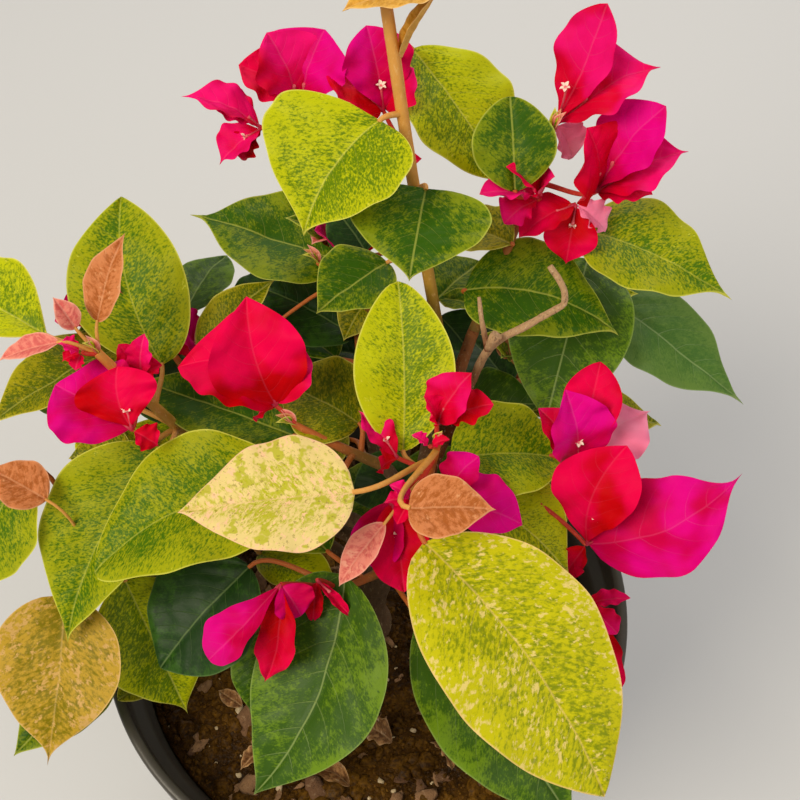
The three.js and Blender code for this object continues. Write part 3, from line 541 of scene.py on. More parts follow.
heads = []  # (name, shoot, place, bracts)
for name, shoot, place, rows in BLOOMS:
    root = sight(*place)
    bracts = [blade(root, sight(*tip), width, 0, fold, bow, sum(sway), tint, outline)
              for tip, width, fold, bow, tint, outline, *sway in rows]
    heads.append((name, shoot, root, bracts))
for shoot, count in RULED_HEADS.items():
    for i in range(count):
        mark = RULED_HEAD["first"] - RULED_HEAD["apart"] * i
        root, bracts = ruled_head(*SHOOTS[shoot][2:], stems[shoot], mark)
        heads.append((f"{shoot}_{i + 1}", shoot, root, bracts))
for shoot in SHOOTS:
    leaves += [(shoot, row) for row in ruled_leaves(shoot)]
for shoot, root, tip, width, fold, tint, outline in FILLING_LEAVES:
    leaves.append((shoot, blade(sight(*root), sight(*tip), width, fold=fold, tint=tint,
                                outline=outline)))
sprigs = [sprig for shoot in SPRIG_SHOOTS for sprig in ruled_sprigs(shoot)]


def buds():
    """Unopened leaves at the tip of every leafy stem."""
    rows = []
    for stem in stems.values():
        end = stem.at(1)
        out = (end - stem.at(BUD["aim_from"])).normalized()
        for i in range(BUD["leaves"]):
            way = out.copy()
            way.rotate(Quaternion(UP, (i - 1) * BUD["spread"]))
            rows.append(blade(end - out * BUD["sunk"], end + way * BUD["length"], BUD["width"],
                              fold=BUD["fold"], bow=BUD["bow"], tint=BUD["tints"][i]))
    return rows


bud_leaves = buds()


# ---------- Drawing node trees ----------
class Wire:
    """A value in a node tree, which can be reckoned with: each sum is a Math node."""

    def __init__(self, sheet, socket):
        self.sheet, self.socket = sheet, socket

    def math(self, operation, *others):
        terms = dict(enumerate((self, *others)))
        return self.sheet.node("ShaderNodeMath", terms, operation=operation)

    def __add__(self, other):
        return self.math("ADD", other)

    def __sub__(self, other):
        return self.math("SUBTRACT", other)

    def __rsub__(self, other):
        return self.math("MULTIPLY", -1) + other

    def __mul__(self, other):
        return self.math("MULTIPLY", other)

    def __truediv__(self, other):
        return self.math("DIVIDE", other)

    def __rtruediv__(self, other):
        return self.math("POWER", -1) * other

    def __pow__(self, other):
        return self.math("POWER", other)

    def __abs__(self):
        return self.math("ABSOLUTE")

    __radd__, __rmul__ = __add__, __mul__


class Sheet:
    """A node tree while it is drawn: node() adds one node and gives back one of its outputs."""

    def __init__(self, tree):
        self.tree = tree

    def node(self, kind, inputs=None, out=0, **settings):
        made = self.tree.nodes.new(kind)
        for name, value in settings.items():
            setattr(made, name, value)
        for key, value in (inputs or {}).items():
            self.plug(made.inputs[key], value)
        return Wire(self, made.outputs[out])

    def plug(self, socket, value):
        if isinstance(value, Wire):
            self.tree.links.new(value.socket, socket)
        else:
            socket.default_value = value

    def split(self, vector):
        made = self.tree.nodes.new("ShaderNodeSeparateXYZ")
        self.plug(made.inputs[0], vector)
        return [Wire(self, socket) for socket in made.outputs]

    def join(self, x, y, z):
        return self.node("ShaderNodeCombineXYZ", {0: x, 1: y, 2: z})

    def stretch(self, vector, amount):
        if isinstance(amount, tuple):
            inputs, operation = {0: vector, 1: amount}, "MULTIPLY"
        else:
            inputs, operation = {0: vector, "Scale": amount}, "SCALE"
        return self.node("ShaderNodeVectorMath", inputs, operation=operation)

    def total(self, *vectors):
        added = vectors[0]
        for vector in vectors[1:]:
            added = self.node("ShaderNodeVectorMath", {0: added, 1: vector}, operation="ADD")
        return added

    def noise(self, vector, scale, detail=2.0, roughness=0.5):
        inputs = {"Vector": vector, "Scale": scale, "Detail": detail, "Roughness": roughness}
        return self.node("ShaderNodeTexNoise", inputs, out="Fac")

    def step(self, value, low, high):
        """0 at low, 1 at high and smooth between."""
        inputs = {0: value, 1: low, 2: high}
        return self.node("ShaderNodeMapRange", inputs, interpolation_type="SMOOTHSTEP")

    def mix(self, share, first, second):
        return self.node("ShaderNodeMix", {0: share, 6: first, 7: second}, out=2, data_type="RGBA")


SOCKETS = {float: "NodeSocketFloat", int: "NodeSocketInt", str: "NodeSocketColor"}


def colour(code):
    """A linear colour from its web code."""
    parts = [int(code[i : i + 2], 16) / 255 for i in (1, 3, 5)]
    return [p / 12.92 if p <= 0.04045 else ((p + 0.055) / 1.055) ** 2.4 for p in parts] + [1]


def new_tree(name, kind, inputs):
    """A tree with named inputs, its sheet and its inputs as wires. Shapes also take a mesh."""
    tree = bpy.data.node_groups.new(name, kind)
    if kind == "GeometryNodeTree":
        tree.interface.new_socket("Geometry", in_out="INPUT", socket_type="NodeSocketGeometry")
        tree.interface.new_socket("Material", in_out="INPUT", socket_type="NodeSocketMaterial")
    for label, value in inputs.items():
        socket = tree.interface.new_socket(label, in_out="INPUT", socket_type=SOCKETS[type(value)])
        socket.default_value = colour(value) if isinstance(value, str) else value
    sheet = Sheet(tree)
    given = tree.nodes.new("NodeGroupInput")
    return sheet, {out.name: Wire(sheet, out) for out in given.outputs if out.name}


def end_tree(sheet, outputs):
    """Adds the tree's outputs: {name: (socket type, wire)}."""
    for label, (socket_type, _) in outputs.items():
        sheet.tree.interface.new_socket(label, in_out="OUTPUT", socket_type=socket_type)
    given = sheet.tree.nodes.new("NodeGroupOutput")
    for label, (_, wire) in outputs.items():
        sheet.plug(given.inputs[label], wire)
    return sheet.tree


def named(sheet, name, data_type="FLOAT"):
    return sheet.node("GeometryNodeInputNamedAttribute", {"Name": name}, data_type=data_type)


def store(sheet, geometry, name, value, data_type="FLOAT", domain="POINT"):
    inputs = {"Geometry": geometry, "Name": name, "Value": value}
    return sheet.node("GeometryNodeStoreNamedAttribute", inputs, data_type=data_type, domain=domain)


def dress(sheet, geometry, material):
    """The last nodes of every shape tree: smooth faces, real geometry and the material."""
    smooth = sheet.node("GeometryNodeSetShadeSmooth", {"Geometry": geometry, "Shade Smooth": True})
    real = sheet.node("GeometryNodeRealizeInstances", {"Geometry": smooth})
    done = sheet.node("GeometryNodeSetMaterial", {"Geometry": real, "Material": material})
    return end_tree(sheet, {"Geometry": ("NodeSocketGeometry", done)})


def grow(name, base, layers, nodes=()):
    """Runs shape trees on a base mesh and keeps the result as a plain piece of the object.

    A layer is (tree, its inputs), or a voxel size in metres that melts what stands into one skin.
    """
    seedling = bpy.data.objects.new(name + "_base", base)
    bpy.context.scene.collection.objects.link(seedling)
    for layer in layers:
        if isinstance(layer, float):
            modifier = seedling.modifiers.new("melt", "REMESH")
            modifier.mode = "VOXEL"
            modifier.voxel_size = layer
            continue
        tree, inputs = layer
        modifier = seedling.modifiers.new("shape", "NODES")
        modifier.node_group = tree
        identifiers = {item.name: item.identifier for item in tree.interface.items_tree
                       if item.item_type == "SOCKET" and item.in_out == "INPUT"}
        for label, value in inputs.items():
            modifier[identifiers[label]] = value
    depsgraph = bpy.context.evaluated_depsgraph_get()
    mesh = bpy.data.meshes.new_from_object(seedling.evaluated_get(depsgraph), depsgraph=depsgraph)
    seedling.modifiers.clear()
    bpy.data.objects.remove(seedling)
    return keep(name, mesh, nodes)


def keep(name, mesh, nodes=()):
    """Makes the mesh a piece that rides on the one body."""
    mesh.name = name
    piece = bpy.data.objects.new(name, mesh)
    bpy.context.scene.collection.objects.link(piece)
    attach(piece, "root")
    present = [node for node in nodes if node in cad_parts]
    if present:
        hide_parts(*present)
    return piece


# ---------- Shape trees ----------
VEIN_SLANT = 0.75  # how far a side vein runs towards the tip for each step outwards
VEIN_WAY = (0.8, 0.6)  # the same slant as a direction: across and along


def blade_tree():
    """Each point becomes a closed thin blade with midrib, side veins, arch, fold and waves."""
    s, given = new_tree("blades", "GeometryNodeTree", {
        "Rows": 45, "Columns": 15, "Thickness": 0.0004, "Cup": 1.2, "Groove": 0.0004,
        "Pucker": 0.0005, "Veins": 9.0, "Warp": 0.03})
    grid = s.node("GeometryNodeMeshGrid", {"Size X": 2.0, "Size Y": 1.0,
                  "Vertices X": given["Columns"], "Vertices Y": given["Rows"]}, out="Mesh")
    x, y, _ = s.split(s.node("GeometryNodeInputPosition"))
    grid = store(s, grid, "across", x)
    grid = store(s, grid, "t", y + 0.5)
    swell = (1 - x * x) * (1 - y * y * 4) * 0.1
    faces = []
    for layer in (1.0, -1.0):
        face = store(s, grid, "layer", layer)
        lift = s.join(0.0, 0.0, swell * layer)
        face = s.node("GeometryNodeSetPosition", {"Geometry": face, "Offset": lift})
        faces.append(face if layer > 0 else s.node("GeometryNodeFlipFaces", {"Mesh": face}))
    joined = s.tree.nodes.new("GeometryNodeJoinGeometry")
    for face in reversed(faces):
        s.tree.links.new(face.socket, joined.inputs[0])
    unit = s.node("GeometryNodeMergeByDistance", {"Geometry": Wire(s, joined.outputs[0]),
                                                  "Distance": 0.0002})
    across, t, layer = named(s, "across"), named(s, "t"), named(s, "layer")
    edge = abs(across).math("MAXIMUM", abs(t * 2 - 1)).math("GREATER_THAN", 0.9999)
    unit = store(s, unit, "sharp_edge", edge, "BOOLEAN", "EDGE")
    copies = s.node("GeometryNodeInstanceOnPoints", {"Points": given["Geometry"], "Instance": unit})
    copies = s.node("GeometryNodeRealizeInstances", {"Geometry": copies})

    length, width, seed = named(s, "length"), named(s, "width"), named(s, "seed")
    fold, ruffle = named(s, "fold"), named(s, "ruffle")
    out = abs(across)
    swelling = ((t ** named(s, "belly")) * math.pi).math("SINE").math("MAXIMUM", 0.0)
    half = width * 0.5 * swelling ** (named(s, "taper") + (t ** 4) * named(s, "drip"))
    arch = t * (1 - t) * 4 * length
    drift = s.noise(s.join(across * 0.7, t * 1.8, seed * 31), 1.4)
    bend = out * half * VEIN_SLANT / length * (out * 0.8 + 0.6)
    vein = (t - bend + (drift - 0.5) * 0.05) * given["Veins"]
    between = 1 - abs(vein.math("FRACT") * 2 - 1) ** 3
    broad = (width * 30).math("MINIMUM", 1.0)
    pucker = between * out * (1 - out) * 4 * given["Pucker"] * broad
    groove = ((out * half * out * half) * -2500000.0).math("EXPONENT") * given["Groove"]
    wave_turn = (t * 3.4 + seed * 9 + across.math("GREATER_THAN", 0.0) * 0.37) * (2 * math.pi)
    wave = wave_turn.math("SINE") * out ** 3 * ruffle * width * (t * (1 - t) * 4)
    warp = (drift - 0.5) * 2 * given["Warp"] * arch
    thick = layer * 0.5 * given["Thickness"] * (1 - out * out).math("MAXIMUM", 0.0) ** 0.5
    thick = thick * (t * (1 - t) * 4).math("MAXIMUM", 0.0) ** 0.3
    cup = out ** given["Cup"] * half * fold.math("SINE")
    rise = arch * named(s, "bow") + cup + pucker - groove + wave + warp + thick
    aside = arch * named(s, "sway") + across * half * fold.math("COSINE")
    root, *ways = (named(s, name, "FLOAT_VECTOR") for name in ("root", "along", "side", "facing"))
    place = s.total(root, s.stretch(ways[0], t * length), s.stretch(ways[1], aside),
                    s.stretch(ways[2], rise))
    flat = s.join(across * half, t * length, seed)
    copies = store(s, copies, "flat_place", flat, "FLOAT_VECTOR")
    copies = store(s, copies, "vein", vein)
    shaped = s.node("GeometryNodeSetPosition", {"Geometry": copies, "Position": place})
    shaped = s.node("GeometryNodeMergeByDistance", {"Geometry": shaped, "Distance": 0.000002})
    return dress(s, shaped, given["Material"])


def limb_tree():
    """Lines become round limbs of their own girth, knotty by noise."""
    s, given = new_tree("limbs", "GeometryNodeTree", {
        "Sides": 10, "Knots": 0.12, "Knot Size": 0.006})
    lines = s.node("GeometryNodeMeshToCurve", {"Mesh": given["Geometry"]})
    ring = s.node("GeometryNodeCurvePrimitiveCircle", {"Resolution": given["Sides"], "Radius": 1.0})
    limbs = s.node("GeometryNodeCurveToMesh", {"Curve": lines, "Profile Curve": ring,
                   "Scale": named(s, "girth"), "Fill Caps": True})
    place = s.node("GeometryNodeInputPosition")
    bumps = s.noise(place, 1 / given["Knot Size"], 3.0, 0.6) - 0.5
    lift = bumps * given["Knots"] * 2 * named(s, "girth")
    push = s.stretch(s.node("GeometryNodeInputNormal"), lift)
    shaped = s.node("GeometryNodeSetPosition", {"Geometry": limbs, "Offset": push})
    return dress(s, shaped, given["Material"])


def relief_tree():
    """Furrows and lumps of bark, and its age, which falls with the distance from the trunk."""
    s, given = new_tree("bark_relief", "GeometryNodeTree", {
        "Relief": 0.0004, "Furrow": 0.002, "Young At": 0.09})
    place = s.node("GeometryNodeInputPosition")
    x, y, _ = s.split(place)
    away = (x * x + y * y) ** 0.5
    age = 1 - (away / given["Young At"]).math("MINIMUM", 1.0)
    aged = store(s, given["Geometry"], "age", age)
    long = s.stretch(place, (1.0, 1.0, 0.3))
    furrows = abs(s.noise(long, 1 / given["Furrow"], 3.0, 0.6) - 0.5) * 2
    lumps = s.noise(place, 0.25 / given["Furrow"], 2.0) - 0.5
    lift = (furrows + lumps * 2) * given["Relief"] * (age * 0.7 + 0.3)
    push = s.stretch(s.node("GeometryNodeInputNormal"), lift)
    shaped = s.node("GeometryNodeSetPosition", {"Geometry": aged, "Offset": push})
    return dress(s, shaped, given["Material"])


def crumb_tree():
    """Lumps of many sizes strewn over the soil's upper face."""
    s, given = new_tree("crumbs", "GeometryNodeTree", {
        "Density": 100000.0, "Least": 0.0005, "Most": 0.002, "Flat": 0.7, "Long": 1.3,
        "Sink": 0.3, "Reach": 0.07, "Detail": 2, "Seed": 1})
    _, _, facing = s.split(s.node("GeometryNodeInputNormal"))
    spots = s.node("GeometryNodeDistributePointsOnFaces", {"Mesh": given["Geometry"],
                   "Selection": facing.math("GREATER_THAN", 0.3),
                   "Density": given["Density"], "Seed": given["Seed"]}, out="Points")

    def draw(offset, low=0.0, high=1.0):
        inputs = {2: low, 3: high, "Seed": given["Seed"] + float(offset)}
        return s.node("FunctionNodeRandomValue", inputs, out=1)

    size = given["Least"] + (given["Most"] - given["Least"]) * draw(1) ** 2.5
    turn = s.join(draw(2, -0.4, 0.4), draw(3, -0.4, 0.4), draw(4, 0.0, 2 * math.pi))
    spots = store(s, spots, "size", size)
    spots = store(s, spots, "age", draw(5))
    x, y, z = s.split(s.node("GeometryNodeInputPosition"))
    limit = given["Reach"] - size * given["Long"] * 1.5
    inwards = (limit / (x * x + y * y) ** 0.5).math("MINIMUM", 1.0)
    sunk = s.join(x * inwards, y * inwards, z - size * given["Sink"])
    spots = s.node("GeometryNodeSetPosition", {"Geometry": spots, "Position": sunk})
    lump = s.node("GeometryNodeMeshIcoSphere", {"Radius": 1.0, "Subdivisions": given["Detail"]})
    lumps = s.node("GeometryNodeInstanceOnPoints", {"Points": spots, "Instance": lump,
                   "Rotation": turn, "Scale": s.join(size * given["Long"], size,
                                                     size * given["Flat"])})
    lumps = s.node("GeometryNodeRealizeInstances", {"Geometry": lumps})
    own = named(s, "size")
    rough = s.noise(s.node("GeometryNodeInputPosition"), 700.0, 2.0) - 0.5
    push = s.stretch(s.node("GeometryNodeInputNormal"), rough * own * 1.8)
    shaped = s.node("GeometryNodeSetPosition", {"Geometry": lumps, "Offset": push})
    return dress(s, shaped, given["Material"])


def ground_tree():
    """Raises and lowers the soil's upper face in lumps, less near its rim."""
    s, given = new_tree("rough_ground", "GeometryNodeTree", {
        "Relief": 0.003, "Rim": 0.07, "Floor": 0.11})
    place = s.node("GeometryNodeInputPosition")
    x, y, z = s.split(place)
    clear = s.step((x * x + y * y) ** 0.5, given["Rim"], given["Rim"] * 0.97)
    clear = clear * z.math("GREATER_THAN", given["Floor"])
    coarse = s.noise(place, 90.0, 5.0, 0.62) - 0.5
    fine = s.noise(place, 420.0, 3.0, 0.6) - 0.5
    lift = s.join(0.0, 0.0, (coarse * 2 + fine * 0.7) * given["Relief"] * clear)
    shaped = s.node("GeometryNodeSetPosition", {"Geometry": given["Geometry"], "Offset": lift})
    return dress(s, shaped, given["Material"])


# ---------- Shader groups ----------
def attribute(sheet, name, out="Fac"):
    return sheet.node("ShaderNodeAttribute", out=out, attribute_name=name)


def object_place(sheet):
    return sheet.node("ShaderNodeTexCoord", out="Object")


def leaf_group():
    """Fine variegation in threads and patches, with a pale rim and veins, on a blade's own
    coordinates, and painted shade that darkens the half of the blade on one side of the midrib."""
    s, given = new_tree("leaf_colours", "ShaderNodeTree", {
        "Dark": "#2f6a1c", "Light": "#8aa82c", "Pale": "#e8dfa0", "Rim": "#dfe08a",
        "Light Share": 0.5, "Pale Share": 0.1, "Vein Share": 0.3, "Patches": 0.45,
        "Blotches": 0.15, "Half": 0.0, "Grain": 0.00055, "Contrast": 1.7,
        "Rim Share": 0.65, "Edge": 0.3, "Spots From": 0.66, "Speck": 0.0})
    place = attribute(s, "flat_place", "Vector")
    x, y, seed = s.split(place)
    out = abs(x)
    towards = out * VEIN_WAY[0] + y * VEIN_WAY[1]
    beside = y * VEIN_WAY[0] - out * VEIN_WAY[1]
    grain = s.join(towards * 0.55, beside, seed * 3 + x.math("SIGN") * 0.037)
    threads = s.noise(grain, 1 / given["Grain"], 3.0, 0.7)
    other_threads = s.noise(s.total(grain, s.join(0.3, 0.7, 0.0)), 0.8 / given["Grain"], 3.0, 0.65)
    patches = s.noise(place, 420.0, 3.0, 0.6)
    regions = s.noise(place, 70.0, 1.0)
    spread = (patches - 0.5) * given["Patches"] + (regions - 0.5) * given["Patches"]
    # The first term sets how much of the blade takes the light colour. The second is painted shade
    # on one half of the blade, as on a fold turned from the light; a negative amount darkens the
    # other half.
    shift = (given["Light Share"] - 0.5) * 0.5 - x.math("SIGN") * given["Half"]
    across = abs(attribute(s, "across"))
    edge = (across ** 2.5 - 0.3) * given["Edge"]
    tone = (threads - 0.5) * given["Contrast"] + spread + shift + edge
    light = s.step(tone, -0.24, 0.24)
    base = s.mix(light, given["Dark"], given["Light"])
    spots = s.noise(s.total(place, s.join(0.0, 0.0, 0.4)), 260.0, 2.0, 0.6)
    blotch = s.step(spots, given["Spots From"], given["Spots From"] + 0.08)
    creamy = other_threads * 0.7 + regions * 0.3 - (patches - 0.5) * 0.5 + (across ** 6) * 0.05
    pale = s.step(creamy, 0.74 - given["Pale Share"] * 0.5, 0.84 - given["Pale Share"] * 0.5)
    base = s.mix(pale, base, given["Pale"])
    base = s.mix(blotch * given["Blotches"], base, given["Dark"])
    specks = s.step(s.noise(place, 1300.0, 1.0), 0.64, 0.7) * given["Speck"]
    base = s.mix(specks, base, colour("#85702c"))
    thin = across * 0.025 + 0.46
    line = s.step(abs(attribute(s, "vein").math("FRACT") - 0.5), thin, 0.5)
    veins = line * (1 - across) ** 0.7 * given["Vein Share"]
    midrib = s.step(out, 0.0004, 0.00012) * (given["Vein Share"] + 0.15)
    coloured = s.mix(veins.math("MAXIMUM", midrib), base, given["Rim"])
    margin = out / across.math("MAXIMUM", 0.02) - out
    coloured = s.mix(s.step(margin, 0.0006, 0.0001) * given["Rim Share"], coloured, given["Rim"])
    under = s.step(attribute(s, "layer"), -0.5, -0.9)
    coloured = s.mix(under * 0.3, coloured, given["Rim"])
    height = threads * 0.2 + (1 - line) * 0.5 + patches * 0.6
    return end_tree(s, {"Colour": ("NodeSocketColor", coloured),
                        "Roughness": ("NodeSocketFloat", threads * 0.2 + 0.4),
                        "Height": ("NodeSocketFloat", height)})


def bract_group():
    """Papery bracts: a darker base colour, brighter in broad patches, paler on veins and on the
    back.
    """
    s, given = new_tree("bract_colours", "ShaderNodeTree", {
        "Deep": "#c00030", "Bright": "#f0206a", "Pale": "#f7a0b8", "Vein Share": 0.1,
        "Back": 0.4})
    place = attribute(s, "flat_place", "Vector")
    x, _, _ = s.split(place)
    drift = s.noise(place, 75.0, 2.0)
    crinkle = s.noise(place, 420.0, 3.0, 0.6)
    line = s.step(abs(attribute(s, "vein").math("FRACT") - 0.5 + (crinkle - 0.5) * 0.1), 0.46, 0.5)
    across = abs(attribute(s, "across"))
    veins = (line * (1 - across)).math("MAXIMUM", s.step(abs(x), 0.0004, 0.0001))
    blush = s.step(drift + attribute(s, "t") * 0.2, 0.45, 0.75)
    base = s.mix(blush, given["Deep"], given["Bright"])
    coloured = s.mix(veins * given["Vein Share"], base, given["Pale"])
    under = s.step(attribute(s, "layer"), -0.5, -0.9)
    mottled = under * given["Back"] * (s.step(crinkle, 0.3, 0.7) * 0.5 + 0.5)
    coloured = s.mix(mottled, coloured, given["Pale"])
    return end_tree(s, {"Colour": ("NodeSocketColor", coloured),
                        "Height": ("NodeSocketFloat", crinkle * 0.3 - veins * 0.4 + drift)})


def bark_group():
    """Bark that greys and cracks with age: smooth and fresh at 0, old and furrowed at 1."""
    s, given = new_tree("bark_grain", "ShaderNodeTree", {
        "Old": "#6d5236", "Young": "#b0662e", "Fleck": "#c9b28a", "Crack": "#2a1a10",
        "Grain": 0.0012, "Cracked": 0.55})
    place = object_place(s)
    furrows = s.noise(s.stretch(place, (1.0, 1.0, 0.3)), 1 / given["Grain"], 4.0, 0.7)
    patches = s.noise(place, 160.0, 3.0)
    old = s.step(attribute(s, "age") + (patches - 0.5) * 0.6, 0.15, 0.85)
    base = s.mix(old, given["Young"], given["Old"])
    flecked = s.mix(s.step(furrows, 0.56, 0.7) * 0.5, base, given["Fleck"])
    coloured = s.mix(s.step(furrows, 0.46, 0.3) * given["Cracked"], flecked, given["Crack"])
    return end_tree(s, {"Colour": ("NodeSocketColor", coloured),
                        "Height": ("NodeSocketFloat", furrows)})


def dust_group():
    """Dust and scuffs over a moulded or mineral surface."""
    s, given = new_tree("dust", "ShaderNodeTree", {
        "Clean": "#24262a", "Dust": "#7d7468", "Amount": 0.4, "Fine": 900.0})
    place = object_place(s)
    clouds = s.noise(place, 35.0, 4.0, 0.6)
    grains = s.noise(place, given["Fine"], 2.0, 0.7)
    scratches = s.noise(s.stretch(place, (1.0, 1.0, 9.0)), 160.0, 3.0, 0.7)
    share = s.step(clouds * 0.6 + grains * 0.4, 0.62 - given["Amount"] * 0.3, 0.8)
    share = share * given["Amount"] + s.step(scratches, 0.66, 0.72) * 0.15
    return end_tree(s, {"Colour": ("NodeSocketColor", s.mix(share, given["Clean"], given["Dust"])),
                        "Roughness": ("NodeSocketFloat", share * 0.5 + 0.36),
                        "Height": ("NodeSocketFloat", grains * 0.3 + scratches * 0.5 + clouds)})


GROUPS = {"leaf": leaf_group(), "bract": bract_group(), "bark": bark_group(), "dust": dust_group()}


def finish(name, group, values, bump, depth, roughness=None, **sockets):
    """A material whose colour, bump and perhaps roughness come from one shader group."""
    material = bpy.data.materials.new(name)
    material.use_nodes = True
    s = Sheet(material.node_tree)
    shader = material.node_tree.nodes["Principled BSDF"]
    made = s.tree.nodes.new("ShaderNodeGroup")
    made.node_tree = GROUPS[group]
    for label, value in values.items():
        made.inputs[label].default_value = colour(value) if isinstance(value, str) else value
    s.plug(shader.inputs["Base Color"], Wire(s, made.outputs["Colour"]))
    inputs = {"Strength": bump, "Distance": depth, "Height": Wire(s, made.outputs["Height"])}
    s.plug(shader.inputs["Normal"], s.node("ShaderNodeBump", inputs))
    if roughness is None:
        s.plug(shader.inputs["Roughness"], Wire(s, made.outputs["Roughness"]))
    else:
        shader.inputs["Roughness"].default_value = roughness
    for label, value in sockets.items():
        shader.inputs[label.replace("_", " ")].default_value = value
    return material


LEAF_TINTS = {
    # Lime leaves carry a little painted shade on one half of the blade.
    "lime": {"Dark": "#5f7c00", "Light": "#bcc204", "Pale": "#d2d03a", "Rim": "#e6e270",
             "Light Share": 0.68, "Pale Share": 0.2, "Half": 0.08, "Vein Share": 0.15},
    "bright": {"Dark": "#446c00", "Light": "#a0a606", "Pale": "#c6c93c", "Rim": "#dcdc60",
               "Light Share": 0.58, "Pale Share": 0.14, "Vein Share": 0.12},
    "green": {"Dark": "#305800", "Light": "#7c8c08", "Pale": "#aab02c", "Rim": "#cdd060",
              "Light Share": 0.4, "Pale Share": 0.06, "Vein Share": 0.2, "Patches": 0.9,
              "Contrast": 1.3, "Rim Share": 0.5},
    "olive": {"Dark": "#516200", "Light": "#a0980a", "Pale": "#c4ba44", "Rim": "#dcd46a",
              "Light Share": 0.5, "Pale Share": 0.14, "Vein Share": 0.12},
    "dark": {"Dark": "#345800", "Light": "#688a08", "Pale": "#77953a", "Rim": "#a8bc70",
             "Light Share": 0.32, "Pale Share": 0.05, "Vein Share": 0.3, "Patches": 1.1,
             "Contrast": 1.2, "Rim Share": 0.3},
    # Painted shade: a near-black copy of the dark greens for leaves in shade far inside the crown.
    "deep": {"Dark": "#143606", "Light": "#2e560c", "Pale": "#4c6c28", "Rim": "#7c9458",
             "Light Share": 0.3, "Pale Share": 0.0, "Vein Share": 0.25, "Patches": 1.0,
             "Contrast": 0.9, "Rim Share": 0.3},
    "grey": {"Dark": "#3d6520", "Light": "#5c7c30", "Pale": "#85a060", "Rim": "#9cb078",
             "Light Share": 0.5, "Pale Share": 0.0, "Vein Share": 0.22, "Patches": 0.5,
             "Contrast": 0.8, "Rim Share": 0.4},
    "mottled": {"Dark": "#808c00", "Light": "#c2be06", "Pale": "#e2ce78", "Rim": "#f0c888",
                "Light Share": 0.7, "Pale Share": 0.38, "Vein Share": 0.14, "Blotches": 0.75,
                "Grain": 0.001, "Speck": 0.15},
    "cream": {"Dark": "#b4b41c", "Light": "#e6d088", "Pale": "#f3c99c", "Rim": "#f2c39c",
              "Light Share": 1.0, "Pale Share": 0.42, "Vein Share": 0.1, "Blotches": 0.85,
              "Patches": 0.7, "Grain": 0.0009, "Spots From": 0.54, "Edge": 0.6, "Speck": 0.5},
    "gold": {"Dark": "#7f7200", "Light": "#be9a2e", "Pale": "#cfa660", "Rim": "#e2bd7c",
             "Light Share": 0.6, "Pale Share": 0.4, "Vein Share": 0.1, "Grain": 0.001,
             "Speck": 0.5},
    "young": {"Dark": "#a85c26", "Light": "#d08250", "Pale": "#dc9a6a", "Rim": "#e2a67c",
              "Light Share": 0.6, "Pale Share": 0.3, "Vein Share": 0.2, "Blotches": 0.6,
              "Grain": 0.0012},
    "blush": {"Dark": "#d0605c", "Light": "#ea8c7c", "Pale": "#f0a48e", "Rim": "#f2b09c",
              "Light Share": 0.6, "Pale Share": 0.3, "Vein Share": 0.2, "Grain": 0.0012},
    "apricot": {"Dark": "#c48a20", "Light": "#e3ad48", "Pale": "#ecc478", "Rim": "#eec684",
                "Light Share": 0.6, "Pale Share": 0.3, "Vein Share": 0.2, "Blotches": 0.7,
                "Grain": 0.0012},
}
# A copy of the lime leaves whose painted shade falls on the other half of the blade, with less of
# the light colour all over.
LEAF_TINTS["lime_turned"] = {**LEAF_TINTS["lime"], "Half": -0.09, "Light Share": 0.58}
GLOSSY_TINTS = ("dark", "deep", "grey")
BRACT_TINTS = {
    "crimson": {"Deep": "#c4000c", "Bright": "#e8004a", "Pale": "#f4688c", "Back": 0.35},
    "pink": {"Deep": "#d60030", "Bright": "#f01076", "Pale": "#f88cb0", "Back": 0.6},
    "magenta": {"Deep": "#cc004a", "Bright": "#e20488", "Pale": "#f77ab8", "Back": 0.4},
    "pale": {"Deep": "#f580a8", "Bright": "#fba0c0", "Pale": "#fdc4d2", "Back": 0.6},
}

leaf_finish = {tint: finish("leaf_" + tint, "leaf", values, 0.4, 0.0005,
                            Specular_IOR_Level=0.28 if tint in GLOSSY_TINTS else 0.14)
               for tint, values in LEAF_TINTS.items()}
bract_finish = {tint: finish("bract_" + tint, "bract", values, 0.35, 0.0005, 0.55,
                             Specular_IOR_Level=0.05)
                for tint, values in BRACT_TINTS.items()}
litter_finish = finish("leaf_dry", "leaf", {"Dark": "#7a5230", "Light": "#b98a58",
                       "Pale": "#dcc09a", "Rim": "#d0aa7c", "Light Share": 0.5,
                       "Pale Share": 0.3, "Vein Share": 0.3, "Grain": 0.0012}, 0.6, 0.0008,
                       Specular_IOR_Level=0.2)
wood_finish = finish("bark_old", "bark", {}, 0.6, 0.001, 0.85)
stem_finish = {
    "young": finish("bark_young", "bark", {"Old": "#a5801e", "Young": "#dc9c48",
                    "Fleck": "#e6c080", "Grain": 0.0009, "Cracked": 0.12}, 0.3, 0.0005, 0.55),
    "ripe": finish("bark_ripe", "bark", {"Old": "#76611a", "Young": "#bf6220",
                   "Fleck": "#d89a5c", "Grain": 0.0009, "Cracked": 0.2}, 0.3, 0.0005, 0.6),
}
stalk_finish = finish("blossom_stalk", "bark", {"Old": "#b4561c", "Young": "#c4301c",
                      "Fleck": "#d87a4c", "Grain": 0.0009, "Cracked": 0.15}, 0.3, 0.0005, 0.6)
flower_finish = finish("flower_tube", "bark", {"Old": "#e8707c", "Young": "#b4103a",
                       "Fleck": "#e0506c", "Cracked": 0.0}, 0.2, 0.0005, 0.55)
star_finish = finish("flower_star", "bark", {"Old": "#fff4e6", "Young": "#fbe6d8",
                     "Fleck": "#fff8ee", "Cracked": 0.0}, 0.2, 0.0005, 0.55)
dead_finish = finish("wood_dead", "bark", {"Old": "#c8a076", "Young": "#7e3c10",
                     "Fleck": "#ecd6b4", "Grain": 0.0008, "Cracked": 0.7}, 1.0, 0.001, 0.9)
